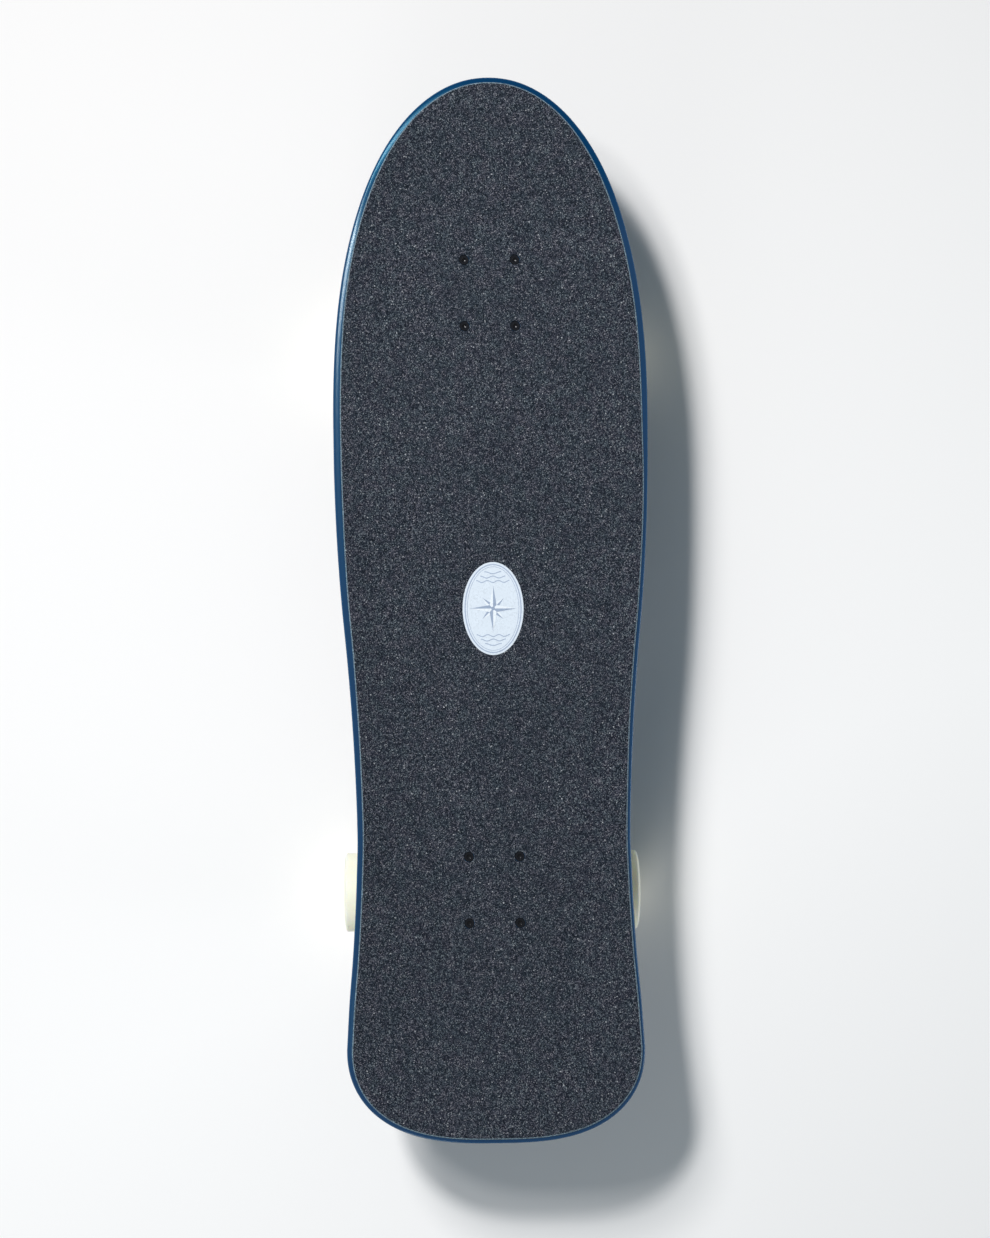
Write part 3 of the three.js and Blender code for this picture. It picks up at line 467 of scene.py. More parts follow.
# Objects from shapes
def raw_mesh(name, shape, materials):
    points, faces, marks = shape
    mesh = bpy.data.meshes.new(name)
    mesh.from_pydata([(x * MM, y * MM, z * MM) for x, y, z in points], [], faces)
    for material in materials:
        mesh.materials.append(material)
    if any(marks):
        mesh.polygons.foreach_set("material_index", marks)
    return mesh


def weld(mesh, reach=TINY, sliver=0.0):
    """Joins points that fall together and turns all faces outwards."""
    work = bmesh.new()
    work.from_mesh(mesh)
    bmesh.ops.remove_doubles(work, verts=work.verts, dist=reach * MM)
    if sliver:
        bmesh.ops.dissolve_degenerate(work, edges=work.edges, dist=sliver * MM)
    bmesh.ops.recalc_face_normals(work, faces=work.faces)
    work.to_mesh(mesh)
    work.free()


def number_points(mesh, name, values):
    mesh.attributes.new(name, "FLOAT", "POINT").data.foreach_set("value", values)


def shade(mesh):
    mesh.shade_smooth()
    mesh.set_sharp_from_angle(angle=SHARP_ANGLE)


def data_of(name, shape, materials=(), smooth=True):
    mesh = raw_mesh(name, shape, materials)
    weld(mesh)
    if smooth:
        shade(mesh)
    return mesh


def scratch_object(name, mesh):
    made = bpy.data.objects.new(name, mesh)
    bpy.context.scene.collection.objects.link(made)
    return made


def modify(thing, kind, **settings):
    made = thing.modifiers.new(kind.lower(), kind)
    for key, value in settings.items():
        setattr(made, key, value)


def baked(thing):
    """The object's mesh with its modifiers applied; the object goes."""
    bpy.context.view_layer.update()
    graph = bpy.context.evaluated_depsgraph_get()
    mesh = bpy.data.meshes.new_from_object(thing.evaluated_get(graph))
    bpy.data.objects.remove(thing)
    return mesh


def cut_mesh(mesh, shapes):
    """The mesh without the space of each shape."""
    for shape in shapes:
        body = scratch_object("cut_body", mesh)
        tool = scratch_object("cut_tool", data_of("cut_tool", shape, mesh.materials[:1], False))
        modify(body, "BOOLEAN", operation="DIFFERENCE", solver="MANIFOLD", object=tool)
        mesh = baked(body)
        bpy.data.objects.remove(tool)
    return mesh


def cast_mesh(name, shapes, pockets, drills):
    """Overlapping shapes grown into one casting with soft edges and pockets, then drilled and faced."""
    mesh = data_of(name, merged(*shapes), [alloy])
    stages = [(), pockets] if pockets else [()]
    for number, cuts in enumerate(stages, 1):
        body = scratch_object(name + "_work", cut_mesh(mesh, cuts))
        modify(body, "REMESH", mode="VOXEL", voxel_size=CAST_GRID * MM)
        if number == len(stages):
            modify(body, "SMOOTH", factor=CAST_EASE, iterations=CAST_ROUNDS)
        mesh = baked(body)
    mesh = cut_mesh(mesh, drills)
    mesh.materials.clear()
    mesh.materials.append(alloy)
    weld(mesh)
    shade(mesh)
    mesh.name = name
    return mesh


def placed(name, mesh, matrix):
    made = scratch_object(name, mesh)
    if matrix is not None:
        made.matrix_world = Matrix.Translation(matrix.translation * MM) @ matrix.to_3x3().to_4x4()
    return made


def piece(name, mesh, body, slot, *nodes, matrix=None):
    made = placed(name, mesh, matrix)
    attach(made, body)
    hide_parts(*nodes)


def soft_piece(name, mesh, slot, node, matrix, bodies, start, end):
    """A sprung piece: a copy of its mesh, placed, with the placing baked into the mesh."""
    made = placed(name, mesh.copy(), matrix)
    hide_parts(node)
    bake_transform(made)


# Looks: colours are linear, sizes and reliefs in millimetres, and levels say where a pattern starts and ends
class Look:
    """A material that is put together from a few textures on its own coordinates."""

    def __init__(self, name, colour, rough, metal=0.0):
        self.made = bpy.data.materials.new(name)
        self.made.use_nodes = True
        self.tree = self.made.node_tree
        self.shader = self.tree.nodes["Principled BSDF"]
        self.put(Base_Color=(*colour, 1.0), Roughness=rough, Metallic=metal)
        self.place = self.tree.nodes.new("ShaderNodeTexCoord").outputs["Object"]

    def feed(self, socket, value):
        if isinstance(value, bpy.types.NodeSocket):
            self.tree.links.new(value, socket)
        else:
            socket.default_value = value

    def put(self, **values):
        for key, value in values.items():
            self.feed(self.shader.inputs[key.replace("_", " ")], value)

    def node(self, kind, out=0, inputs=None, **settings):
        made = self.tree.nodes.new("ShaderNode" + kind)
        for key, value in settings.items():
            setattr(made, key, value)
        for key, value in (inputs or {}).items():
            self.feed(made.inputs[key], value)
        return made.outputs[out]

    def noise(self, size, detail=2.0, rough=0.5, place=None):
        """Noise with features of about the size."""
        inputs = {"Vector": place or self.place, "Scale": 1 / (size * MM), "Detail": detail}
        return self.node("TexNoise", 0, {**inputs, "Roughness": rough})

    def cells(self, size, out="Color"):
        return self.node("TexVoronoi", out, {"Vector": self.place, "Scale": 1 / (size * MM)})

    def part(self, kind, number, value):
        """One number out of a colour or a place."""
        return self.node(kind, number, {0: value})

    def ramp(self, value, stops):
        made = self.tree.nodes.new("ShaderNodeValToRGB")
        self.tree.links.new(value, made.inputs[0])
        elements = made.color_ramp.elements
        while len(elements) < len(stops):
            elements.new(1.0)
        for element, (at, colour) in zip(elements, stops):
            element.position = at
            element.color = (*colour, 1.0)
        return made.outputs["Color"]

    def mix(self, share, a, b, blend="MIX"):
        a, b = [v if isinstance(v, bpy.types.NodeSocket) else (*v, 1.0) for v in (a, b)]
        inputs = {0: share, MIX_COLOURS[0]: a, MIX_COLOURS[1]: b}
        return self.node("Mix", MIX_RESULT, inputs, data_type="RGBA", blend_type=blend)

    def math(self, operation, a, b=0.0, clamp=False):
        return self.node("Math", 0, {0: a, 1: b}, operation=operation, use_clamp=clamp)

    def line(self, value, slope, base):
        """The value times the slope plus the base, held between 0 and 1."""
        return self.math("ADD", self.math("MULTIPLY", value, slope), base, True)

    def band(self, value, low, high, kind="LINEAR"):
        """A share that goes from 0 at low to 1 at high."""
        inputs = {"Value": value, "From Min": low, "From Max": high}
        return self.node("MapRange", 0, inputs, clamp=True, interpolation_type=kind)

    def patches(self, noise, levels, a, b):
        """Two tones in patches of noise."""
        return self.mix(self.band(self.noise(*noise), *levels), a, b)

    def bump(self, height, depth, strength=1.0, socket="Normal"):
        made = self.node("Bump", 0, {"Height": height, "Distance": depth * MM, "Strength": strength})
        self.put(**{socket: made})


MIX_COLOURS = (6, 7)
MIX_RESULT = 2
BLACK = (0.0, 0.0, 0.0)
WHITE = (1.0, 1.0, 1.0)

# Plain looks: name, colour, roughness, change of shade, grain size, relief and gloss
PATCH_LEVELS = (0.3, 0.7)
METAL_PATCH = (9.0, 3.0)
PLASTIC_PATCH = (14.0, 3.0)
PLASTIC_CHANGE = 0.16
METALS = (
    ("cast_alloy", (0.56, 0.58, 0.6), 0.42, 0.08, 0.5, 0.03),
    ("bright_zinc", (0.66, 0.67, 0.69), 0.26, 0.08, 0.3, 0.006),
    ("ground_steel", (0.7, 0.71, 0.73), 0.18, 0.08, 0.2, 0.004),
    ("bearing_shield", (0.42, 0.43, 0.45), 0.32, 0.08, 0.4, 0.006),
    ("spring_steel", (0.075, 0.077, 0.085), 0.3, 0.1, 0.8, 0.01),
    ("sintered_bronze", (0.5, 0.33, 0.15), 0.4, 0.08, 0.3, 0.012),
)
PLASTICS = (
    ("black_oxide", (0.003, 0.004, 0.007), 0.18, 0.1, 0.4, 0.004, 0.14),
    ("bushing_urethane", (0.78, 0.75, 0.66), 0.42, 0.06, 0.6, 0.015),
    ("pivot_cup_urethane", (0.7, 0.69, 0.64), 0.5, 0.06, 0.6, 0.015),
    ("moulded_riser", (0.018, 0.019, 0.021), 0.55, 0.1, 0.9, 0.04),
    ("nylon_insert", (0.55, 0.57, 0.6), 0.45, 0.06, 0.6, 0.015),
)


def plain_look(metal, patch, name, colour, rough, shade_change, grain, relief, gloss=0.5):
    """One colour in soft patches that are duller or brighter, with a fine relief."""
    look = Look(name, colour, rough, metal)
    change = 2 * shade_change if metal else PLASTIC_CHANGE
    dark = [c * (1 - 2 * shade_change) for c in colour]
    light = [min(1.0, c * (1 + shade_change)) for c in colour]
    patches = look.noise(*patch)
    look.put(Base_Color=look.mix(look.band(patches, *PATCH_LEVELS), dark, light))
    look.put(Roughness=look.line(patches, change, rough - change / 2), Specular_IOR_Level=gloss)
    look.bump(look.noise(grain), relief)
    return look.made


# Lacquer: long streaks and pores in the faces, plies in the wall, duller at the nose
LACQUER = ((0.004, 0.07, 0.17), 0.3)
LONG_GRAIN = (0.06, 1.0, 1.0)
STREAKS = (2.6, 4.0, 0.6)
STREAK_LEVELS = (0.35, 0.72)
FACE_BLUES = ((0.0, 0.024, 0.07), (0.0, 0.056, 0.142))
PORES = (0.7, 2.0, 0.5)
PORE_LEVELS = (0.62, 0.75)
PORE_BLUE = (0.0, 0.012, 0.042)
PLY_STRIPES = ((0.0, BLACK), (0.46, BLACK), (0.5, WHITE), (0.96, WHITE), (1.0, BLACK))
WALL_BLUES = ((0.0, 0.026, 0.085), (0.0, 0.046, 0.13))
WALL_ENDS = ((0.001, 0.01), (0.999, 0.99))
NOSE_DULL = (0.355, 0.3)
COAT_SHINE = (0.36, 0.06)
COAT_ROUGHNESS = 0.15
BLUE_GLOSS = {"Specular_IOR_Level": 0.16, "Specular_Tint": (0.08, 0.68, 1.0, 1.0)}
PEEL_SIZE = 0.5
PEEL_RELIEF = 0.03
LACQUER_ROUGHNESS = (0.1, 0.22)
STREAK_RELIEF = (0.02, 0.6)


def lacquer_look():
    """Blue lacquer over seven maple plies: their edges show faintly in the side wall."""
    look = Look("blue_lacquer", *LACQUER)
    long_grain = look.node("Mapping", inputs={"Vector": look.place, "Scale": LONG_GRAIN})
    streaks = look.noise(*STREAKS, long_grain)
    face = look.mix(look.band(streaks, *STREAK_LEVELS), *FACE_BLUES)
    face = look.mix(look.band(look.noise(*PORES, long_grain), *PORE_LEVELS), face, PORE_BLUE)
    depth = look.node("Attribute", "Fac", attribute_name="ply")
    step = look.math("FRACT", look.math("MULTIPLY", depth, PLY_COUNT / 2))
    wall = look.mix(look.ramp(step, PLY_STRIPES), *WALL_BLUES)
    in_wall = look.math("MULTIPLY", *[look.band(depth, *ends) for ends in WALL_ENDS])
    look.put(Base_Color=look.mix(in_wall, face, wall))
    shine = look.line(look.band(look.part("SeparateXYZ", 0, look.place), *NOSE_DULL), *COAT_SHINE)
    look.put(Coat_Weight=shine, Coat_Roughness=COAT_ROUGHNESS, **BLUE_GLOSS)
    look.bump(look.noise(PEEL_SIZE), PEEL_RELIEF, socket="Coat_Normal")
    look.put(Roughness=look.line(streaks, *LACQUER_ROUGHNESS))
    look.bump(streaks, *STREAK_RELIEF)
    return look.made


# Grip: tones of the grains, then clumps, tints, painted glints and clouds that are laid over them
GRIT = ((0.02, 0.024, 0.033), 0.85)
GRAIN_SIZE = 0.6
PAINTED_GLINT_SIZE = 0.8
# Grain tones: dark grit up to pale grains; the palest are partly real grain tone and partly painted glint
GRIT_TONES = (
    (0.0, (0.003, 0.005, 0.008)),
    (0.38, (0.014, 0.018, 0.027)),
    (0.7, (0.04, 0.047, 0.064)),
    (0.91, (0.118, 0.13, 0.154)),
    (1.0, (0.25, 0.26, 0.28)),
)
CLUMPS = ((1.7, 2.0), (0.34, 0.66), (0.95, 0.95, 0.95), (1.02, 1.02, 1.02))
TINTS = ((8.0, 2.0), (0.36, 0.64), (1.06, 0.98, 1.0), (0.95, 1.02, 1.0))
# Painted glints: a few grain cells painted pale, a painted highlight for grit that catches the light
PAINTED_GLINT_LEVELS = (0.992, 0.999)
PAINTED_GLINT_TONE = (0.42, 0.43, 0.45)
CLOUDS = (55.0, 3.0)
CLOUD_LEVELS = (0.25, 0.75)
CLOUD_SHARE = 0.2
CLOUD_TONE = (0.018, 0.026, 0.034)
GRIT_ROUGHNESS = (0.3, 0.6)
GRIT_GLOSS = 0.03
GRIT_RELIEF = (0.35, 0.7)


def grip_look():
    """Mineral grit: dark grains, with painted glints, a few cells painted pale for grains that catch the
    light.
    """
    look = Look("grip_grit", *GRIT)
    grain = look.part("SeparateColor", 0, look.cells(GRAIN_SIZE))
    painted_glint_cells = look.part("SeparateColor", 1, look.cells(PAINTED_GLINT_SIZE))
    tone = look.ramp(grain, GRIT_TONES)
    for layer in (CLUMPS, TINTS):
        tone = look.mix(1.0, tone, look.patches(*layer), "MULTIPLY")
    tone = look.mix(look.band(painted_glint_cells, *PAINTED_GLINT_LEVELS), tone, PAINTED_GLINT_TONE)
    cloud = look.band(look.noise(*CLOUDS), *CLOUD_LEVELS)
    tone = look.mix(look.math("MULTIPLY", cloud, CLOUD_SHARE), tone, CLOUD_TONE)
    look.put(Base_Color=tone, Roughness=look.line(grain, *GRIT_ROUGHNESS), Specular_IOR_Level=GRIT_GLOSS)
    look.bump(look.cells(GRAIN_SIZE, "Distance"), *GRIT_RELIEF)
    return look.made


FILED = ((0.16, 0.24, 0.3), 0.75)
TORN = ((0.8, 3.0), (0.42, 0.62), (0.05, 0.075, 0.095), (0.2, 0.3, 0.37))
TORN_RELIEF = (0.5, 0.15)


def filed_look():
    """The grip's edge, filed down to pale backing with grit left in it."""
    look = Look("grip_filed_edge", *FILED)
    look.put(Base_Color=look.patches(*TORN))
    look.bump(look.noise(TORN_RELIEF[0]), TORN_RELIEF[1])
    return look.made


INKS = {
    "ink_pale": (0.70, 0.77, 0.85),
    "ink_mid": (0.36, 0.43, 0.56),
    "ink_light": (0.82, 0.87, 0.92),
    "ink_dark": (0.30, 0.37, 0.50),
}
INK_ROUGHNESS = 0.6
INK_GRAIN = 0.9
INK_LEVELS = (0.0, 0.55)
INK_SHADES = (0.82, 0.95)
INK_PATCH = (9.0, 2.0)
INK_RELIEF = (0.12, 0.6)


def print_look(name, colour):
    """Ink on grit: the grains stand through it."""
    look = Look(name, colour, INK_ROUGHNESS)
    low, worn = [[c * share for c in colour] for share in INK_SHADES]
    grain = look.part("SeparateColor", 0, look.cells(INK_GRAIN))
    tone = look.mix(look.band(grain, *INK_LEVELS), low, colour)
    look.put(Base_Color=look.patches(INK_PATCH, PATCH_LEVELS, tone, worn))
    look.bump(look.cells(INK_GRAIN, "Distance"), *INK_RELIEF)
    return look.made


URETHANE = ((0.82, 0.78, 0.63), 0.35)
CREAMS = ((11.0, 3.0), PATCH_LEVELS, (0.92, 0.89, 0.72), (0.94, 0.92, 0.77))
SCUFFS = (1.6, 4.0, 0.7)
SCUFF_LEVELS = (0.5, 0.72)
SCUFF_SHARE = 0.5
SCUFF_TONE = (0.82, 0.79, 0.65)
WHEEL_ROUGHNESS = (0.26, 0.34)
WHEEL_DEPTH = {"Subsurface_Weight": 0.5, "Subsurface_Scale": 0.02, "Subsurface_Radius": (1.0, 0.8, 0.45)}
WHEEL_GRAIN = 0.5
WHEEL_RELIEF = (0.03, 0.7)


def urethane_look():
    """Cream urethane, ground matt where it runs on the road."""
    look = Look("wheel_urethane", *URETHANE)
    road = look.node("Attribute", "Fac", attribute_name="road")
    scuff = look.math("MULTIPLY", look.band(look.noise(*SCUFFS), *SCUFF_LEVELS), road)
    worn = look.math("MULTIPLY", scuff, SCUFF_SHARE)
    look.put(Base_Color=look.mix(worn, look.patches(*CREAMS), SCUFF_TONE))
    look.put(Roughness=look.line(road, *WHEEL_ROUGHNESS), **WHEEL_DEPTH)
    look.bump(look.noise(WHEEL_GRAIN), *WHEEL_RELIEF)
    return look.made


lacquer = lacquer_look()
grit = grip_look()
filed = filed_look()
urethane = urethane_look()
alloy, zinc, ground, shield, spring_black, bronze = [plain_look(1.0, METAL_PATCH, *row) for row in METALS]
black, bushing_look, cup_look, riser_look, nylon = [plain_look(0.0, PLASTIC_PATCH, *row) for row in PLASTICS]
inks = [print_look(name, colour) for name, colour in INKS.items()]


# Deck surface, from the nose along s and across by y
def smooth(share):
    t = min(1.0, max(0.0, share))
    return t * t * (3 - 2 * t)


def waist_share(share):
    """The waist's smooth curve through its table."""
    last = len(WAIST_SHARES) - 1
    i = 0
    while i < last - 1 and WAIST_SHARES[i + 1][0] < share:
        i += 1
    before, (x0, y0), (x1, y1), after = [WAIST_SHARES[min(last, max(0, i + k))] for k in (-1, 0, 1, 2)]
    width = x1 - x0
    t = (share - x0) / width
    start = (y1 - before[1]) / (x1 - before[0])
    end = (after[1] - y0) / (after[0] - x0)
    return (
        (2 * t**3 - 3 * t**2 + 1) * y0
        + (t**3 - 2 * t**2 + t) * start * width
        + (3 * t**2 - 2 * t**3) * y1
        + (t**3 - t**2) * end * width
    )


def half_width(s):
    if s < NOSE_ROUND_LENGTH:
        rest = (1 - max(0.0, s) / NOSE_ROUND_LENGTH) ** NOSE_ROUND_POWERS[0]
        return DECK_WIDTH / 2 * max(0.0, 1 - rest) ** (1 / NOSE_ROUND_POWERS[1])
    if s > WAIST_END:
        rest = min(1.0, (s - WAIST_END) / TAIL_ROUND_LENGTH) ** TAIL_ROUND_POWERS[0]
        return TAIL_HALF_WIDTH * max(0.0, 1 - rest) ** (1 / TAIL_ROUND_POWERS[1])
    first = WAIST_SHARES[0][0]
    last, last_width = WAIST_SHARES[-1]
    share = first + (s - NOSE_ROUND_LENGTH) / (WAIST_END - NOSE_ROUND_LENGTH) * (last - first)
    end_fit = TAIL_HALF_WIDTH - DECK_WIDTH / 2 * last_width
    return DECK_WIDTH / 2 * waist_share(share) + end_fit * smooth((share - first) / (last - first))


def ramp_rise(run, ramp):
    length, blend, slope = ramp
    run = max(0.0, run + length)
    return slope * run * run / (2 * blend) if run < blend else slope * (run - blend / 2)


def deck_top_at(s, y):
    rise = ramp_rise(-s, NOSE_RAMP) + ramp_rise(s - DECK_LENGTH, TAIL_RAMP)
    fade = smooth(s / NOSE_FADE) * smooth((DECK_LENGTH - s) / TAIL_FADE)
    out = min(1.0, abs(y) / max(half_width(s), TINY))
    curl = max(0.0, out - CONCAVE_FLAT_SHARE) / (1 - CONCAVE_FLAT_SHARE)
    return DECK_TOP + rise + fade * CONCAVE_RISE * curl * curl


def stations():
    nose, waist, tail = STATION_STEPS
    places = [NOSE_ROUND_LENGTH * (i / nose) ** 2 for i in range(nose)]
    places += [NOSE_ROUND_LENGTH + (WAIST_END - NOSE_ROUND_LENGTH) * i / waist for i in range(waist)]
    places += [DECK_LENGTH - TAIL_ROUND_LENGTH * (1 - i / tail) ** 2 for i in range(tail + 1)]
    return places


def inset_point(s, inset):
    if s <= 0:
        return inset, 0.0
    if s >= DECK_LENGTH:
        return DECK_LENGTH - inset, 0.0
    step = min(s, DECK_LENGTH - s, GAP) / 2
    slope = (half_width(s + step) - half_width(s - step)) / (2 * step)
    size = hypot(slope, 1)
    return s + inset * slope / size, max(0.0, half_width(s) - inset / size)


def roll(inset):
    """How far the sanded edge falls below the plain top, at an inset from the outline."""
    for inner, outer in zip(EDGE_ROLL, EDGE_ROLL[1:]):
        if outer[0] <= inset < inner[0]:
            return inner[1] + (outer[1] - inner[1]) * (inner[0] - inset) / (inner[0] - outer[0])
    return 0.0


def deck_skin(levels, inset_at=None):
    """Two faces and the rim between them, by levels of (extra inset, lift over the top, mark)."""
    places = stations()
    points, faces, marks, depths = [], [], [], []

    def add(s, y, lift):
        points.append((DECK_LENGTH / 2 - s, y, deck_top_at(s, y) + lift))
        depths.append(-lift / DECK_THICKNESS)
        return len(points) - 1

    def edge_points(place, inset):
        made = []
        for side in (-1, 1):
            extra = inset_at(place, side) if inset_at else 0.0
            s, w = inset_point(place, inset + extra)
            made.append((s, side * w, roll(inset + extra) if inset_at else 0.0))
        return made

    def join(a, b, c, d, mark):
        faces.append([a, b, c, d])
        marks.append(mark)

    rims = []
    for inset, lift, _ in levels:
        rims.append([[add(s, y, lift - fall) for s, y, fall in edge_points(p, inset)] for p in places])
    for (_, _, mark), upper, lower in zip(levels[1:], rims, rims[1:]):
        for i in range(len(places) - 1):
            for side in (0, 1):
                join(upper[i][side], upper[i + 1][side], lower[i + 1][side], lower[i][side], mark)
    for inset, lift, mark in (levels[0], levels[-1]):
        rows = []
        for place in places:
            (s_right, right, fall_right), (s_left, left, fall_left) = edge_points(place, inset)
            falls = {0: fall_right, ACROSS_STEPS: fall_left}
            row = []
            for j in range(ACROSS_STEPS + 1):
                t = (sin(pi / 2 * (2 * j / ACROSS_STEPS - 1)) + 1) / 2
                low = lift - falls.get(j, 0.0)
                row.append(add(s_right + (s_left - s_right) * t, right + (left - right) * t, low))
            rows.append(row)
        for near, far in zip(rows, rows[1:]):
            for j in range(ACROSS_STEPS):
                join(near[j], near[j + 1], far[j + 1], far[j], mark)
    return (points, faces, marks), depths


def skin_data(name, levels, materials, holes, inset_at=None):
    """A skin with its depth under the top kept as the ply number, drilled for the bolts."""
    shape, depths = deck_skin(levels, inset_at)
    mesh = raw_mesh(name, shape, materials)
    number_points(mesh, "ply", depths)
    weld(mesh, SKIN_WELD, SKIN_SLIVER)
    mesh = cut_mesh(mesh, [holes])
    shade(mesh)
    return mesh


def bolt_places():
    return [(i * BOLT_SPACING[0] / 2, j * BOLT_SPACING[1] / 2) for i in (1, -1) for j in (1, -1)]


def all_bolts():
    return [(PATTERN_X[name] + x, y) for name in TRUCKS for x, y in bolt_places()]


def deck_levels():
    """Sanded and rounded upper edge, a wall with a groove at the inner ply joints, rounded lower edge."""
    levels = [(inset, -fall, 0) for inset, fall in EDGE_ROLL]
    last, fallen = EDGE_ROLL[-1]
    radius = last / (1 - sin(EDGE_TURN))
    for i in range(1, EDGE_STEPS + 1):
        a = EDGE_TURN + (pi / 2 - EDGE_TURN) * i / EDGE_STEPS
        levels.append((radius * (1 - sin(a)), radius * (cos(a) - cos(EDGE_TURN)) - fallen, 0))
    for i in range(1, PLY_COUNT):
        at = DECK_THICKNESS / PLY_COUNT * i
        if EDGE_RADIUS + PLY_GROOVE_WIDTH < at < DECK_THICKNESS - EDGE_RADIUS - PLY_GROOVE_WIDTH:
            groove = ((0.0, PLY_GROOVE_WIDTH), (PLY_GROOVE, 0.0), (0.0, -PLY_GROOVE_WIDTH))
            levels += [(inset, rise - at, 0) for inset, rise in groove]
    for i in range(EDGE_STEPS, -1, -1):
        a = pi / 2 * i / EDGE_STEPS
        levels.append((EDGE_RADIUS * (1 - sin(a)), EDGE_RADIUS * (1 - cos(a)) - DECK_THICKNESS, 0))
    return levels


def make_deck():
    low = DECK_UNDERSIDE - CUT_OVER
    high = DECK_TOP + CUT_OVER
    cone_top = BOLT_HEAD_RADIUS + GAP
    cone_base = HEAD_TOP - HEAD_CONE - GAP
    cone_end = cone_base + (cone_top - BOLT_HOLE) / BOLT_HEAD_TAN
    profile = [(0.0, low), (BOLT_HOLE, low), (BOLT_HOLE, cone_base), (cone_top, cone_end), (cone_top, high)]
    holes = scattered(turned(profile + [(0.0, high)], SMALL_SIDES), all_bolts())
    mesh = skin_data("deck_body", deck_levels(), [lacquer], holes)
    piece("deck_body", mesh, "board", "lacquer", "deck")


def grip_inset(place, side):
    column = 1 if side > 0 else 2
    inset = GRIP_INSETS[0][column]
    for near, far in zip(GRIP_INSETS, GRIP_INSETS[1:]):
        inset += (far[column] - near[column]) * smooth((place - near[0]) / (far[0] - near[0]))
    return inset


def make_grip():
    top = GAP + GRIP_THICKNESS
    levels = [(GRIP_FILED * rings, top, 0) for rings in (4, 3, 2, 1)]
    levels += [(GRIP_FILED / 2, top - GRIP_FILED_DROP / 3, 1), (0.0, top - GRIP_FILED_DROP, 1), (0.0, FIT, 1)]
    radius = BOLT_HEAD_RADIUS + GAP
    profile = [(0.0, -GRIP_DRILL), (radius, -GRIP_DRILL), (radius, GRIP_DRILL), (0.0, GRIP_DRILL)]
    holes = scattered(turned(profile, SMALL_SIDES), all_bolts(), DECK_TOP)
    mesh = skin_data("grip_sheet", levels, [grit, filed], holes, grip_inset)
    piece("grip_sheet", mesh, "board", "grip", "grip_tape")


# Emblem: a compass rose in an oval, printed on the grip in pale blue and white
def oval(half_length, half_breadth, height):
    steps = 2 * FINE_SIDES
    turns = [tau * k / steps for k in range(steps)]
    return [(half_length * cos(a), half_breadth * sin(a), height) for a in turns]


def leaf(outline, layer):
    """A flat printed shape of (x, y) points, on its layer."""
    return stacked([[(x, y, EMBLEM_LAYER * level) for x, y in outline] for level in (layer - 1, layer)])


def oval_band(outer, inner, layer):
    low = EMBLEM_LAYER * (layer - 1)
    high = EMBLEM_LAYER * layer
    return stacked([oval(*outer, low), oval(*outer, high), oval(*inner, high), oval(*inner, low)], True)


def rose_rays(reach, waist, turn, layer):
    """Light and dark half rays of a compass star."""
    light, dark = [], []
    side = pi / EMBLEM_RAYS
    for k in range(EMBLEM_RAYS):
        angle = turn + tau * k / EMBLEM_RAYS
        tip = around(reach, angle)
        light.append(leaf([(0.0, 0.0), tip, around(waist, angle + side)], layer))
        dark.append(leaf([(0.0, 0.0), around(waist, angle - side), tip], layer))
    return light, dark


def wave_band(centre_x, width, height, thickness, crests, layer):
    """A ribbon of waves across the oval."""
    steps = crests * WAVE_STEPS
    upper, lower = [], []
    for i in range(steps + 1):
        y = width * (i / steps - 0.5)
        x = centre_x + height * cos(tau * crests * i / steps) / 2
        upper.append((x + thickness / 2, y))
        lower.append((x - thickness / 2, y))
    return leaf(upper + lower[::-1], layer)


def make_emblem():
    size = (EMBLEM_LENGTH / 2, EMBLEM_WIDTH / 2)
    base = stacked([oval(*size, -EMBLEM_LAYER), oval(*size, EMBLEM_LAYER)])
    inner = [(size[0] - inset, size[1] - inset) for inset in EMBLEM_RINGS]
    lines = [oval_band(*inner[:2], 2), oval_band(*inner[2:], 2)]
    start, step, width, height, thickness = EMBLEM_WAVES
    for sign in (1, -1):
        for row in range(WAVE_ROWS):
            centre = sign * (start + row * step)
            span = width * (1 - row / (WAVE_ROWS + 1))
            lines.append(wave_band(centre, span, height, thickness, WAVE_ROWS - row, 2))
    long_light, long_dark = rose_rays(*EMBLEM_LONG_RAYS, 0.0, 4)
    short_light, short_dark = rose_rays(*EMBLEM_SHORT_RAYS, pi / EMBLEM_RAYS, 3)
    hub = rod(EMBLEM_HUB, EMBLEM_LAYER * 3, EMBLEM_LAYER * 5)
    shapes = []
    for ink, group in enumerate(([base], lines, long_light + short_light, long_dark + short_dark + [hub])):
        shapes += [(points, faces, [ink] * len(faces)) for points, faces, _ in group]
    made = scratch_object("grip_emblem", data_of("grip_emblem", merged(*shapes), inks, False))
    made.location = (EMBLEM_PLACE[0] * MM, EMBLEM_PLACE[1] * MM, GRIP_TOP * MM)
    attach(made, "board")


# Bolts and nuts
def bolt_shape(length):
    """A countersunk bolt with a hexagon socket, its head's face at the origin."""
    sides = BOLT_SIDES
    flats = BOLT_SOCKET_FLATS
    rim = flats + BOLT_HEAD_EDGE
    rings = [circle(BOLT_RADIUS - BOLT_PITCH, -length, sides)]
    rings += thread_rings(BOLT_RADIUS, -length + BOLT_PITCH / 2, -length + BOLT_THREAD, BOLT_PITCH, sides)
    head = [(BOLT_RADIUS, -HEAD_CONE), (BOLT_HEAD_RADIUS, -BOLT_HEAD_EDGE)]
    rings += circles(head + [(BOLT_HEAD_RADIUS - BOLT_HEAD_EDGE / 2, 0.0)], sides)
    socket = [(rim, 0.0), (flats, -BOLT_HEAD_EDGE / 2), (flats, -BOLT_SOCKET_DEPTH)]
    rings += [hex_ring(size, size, height, sides) for size, height in socket]
    return stacked(rings + [circle(GAP, -BOLT_SOCKET_DEPTH - BOLT_HEAD_EDGE, sides)])


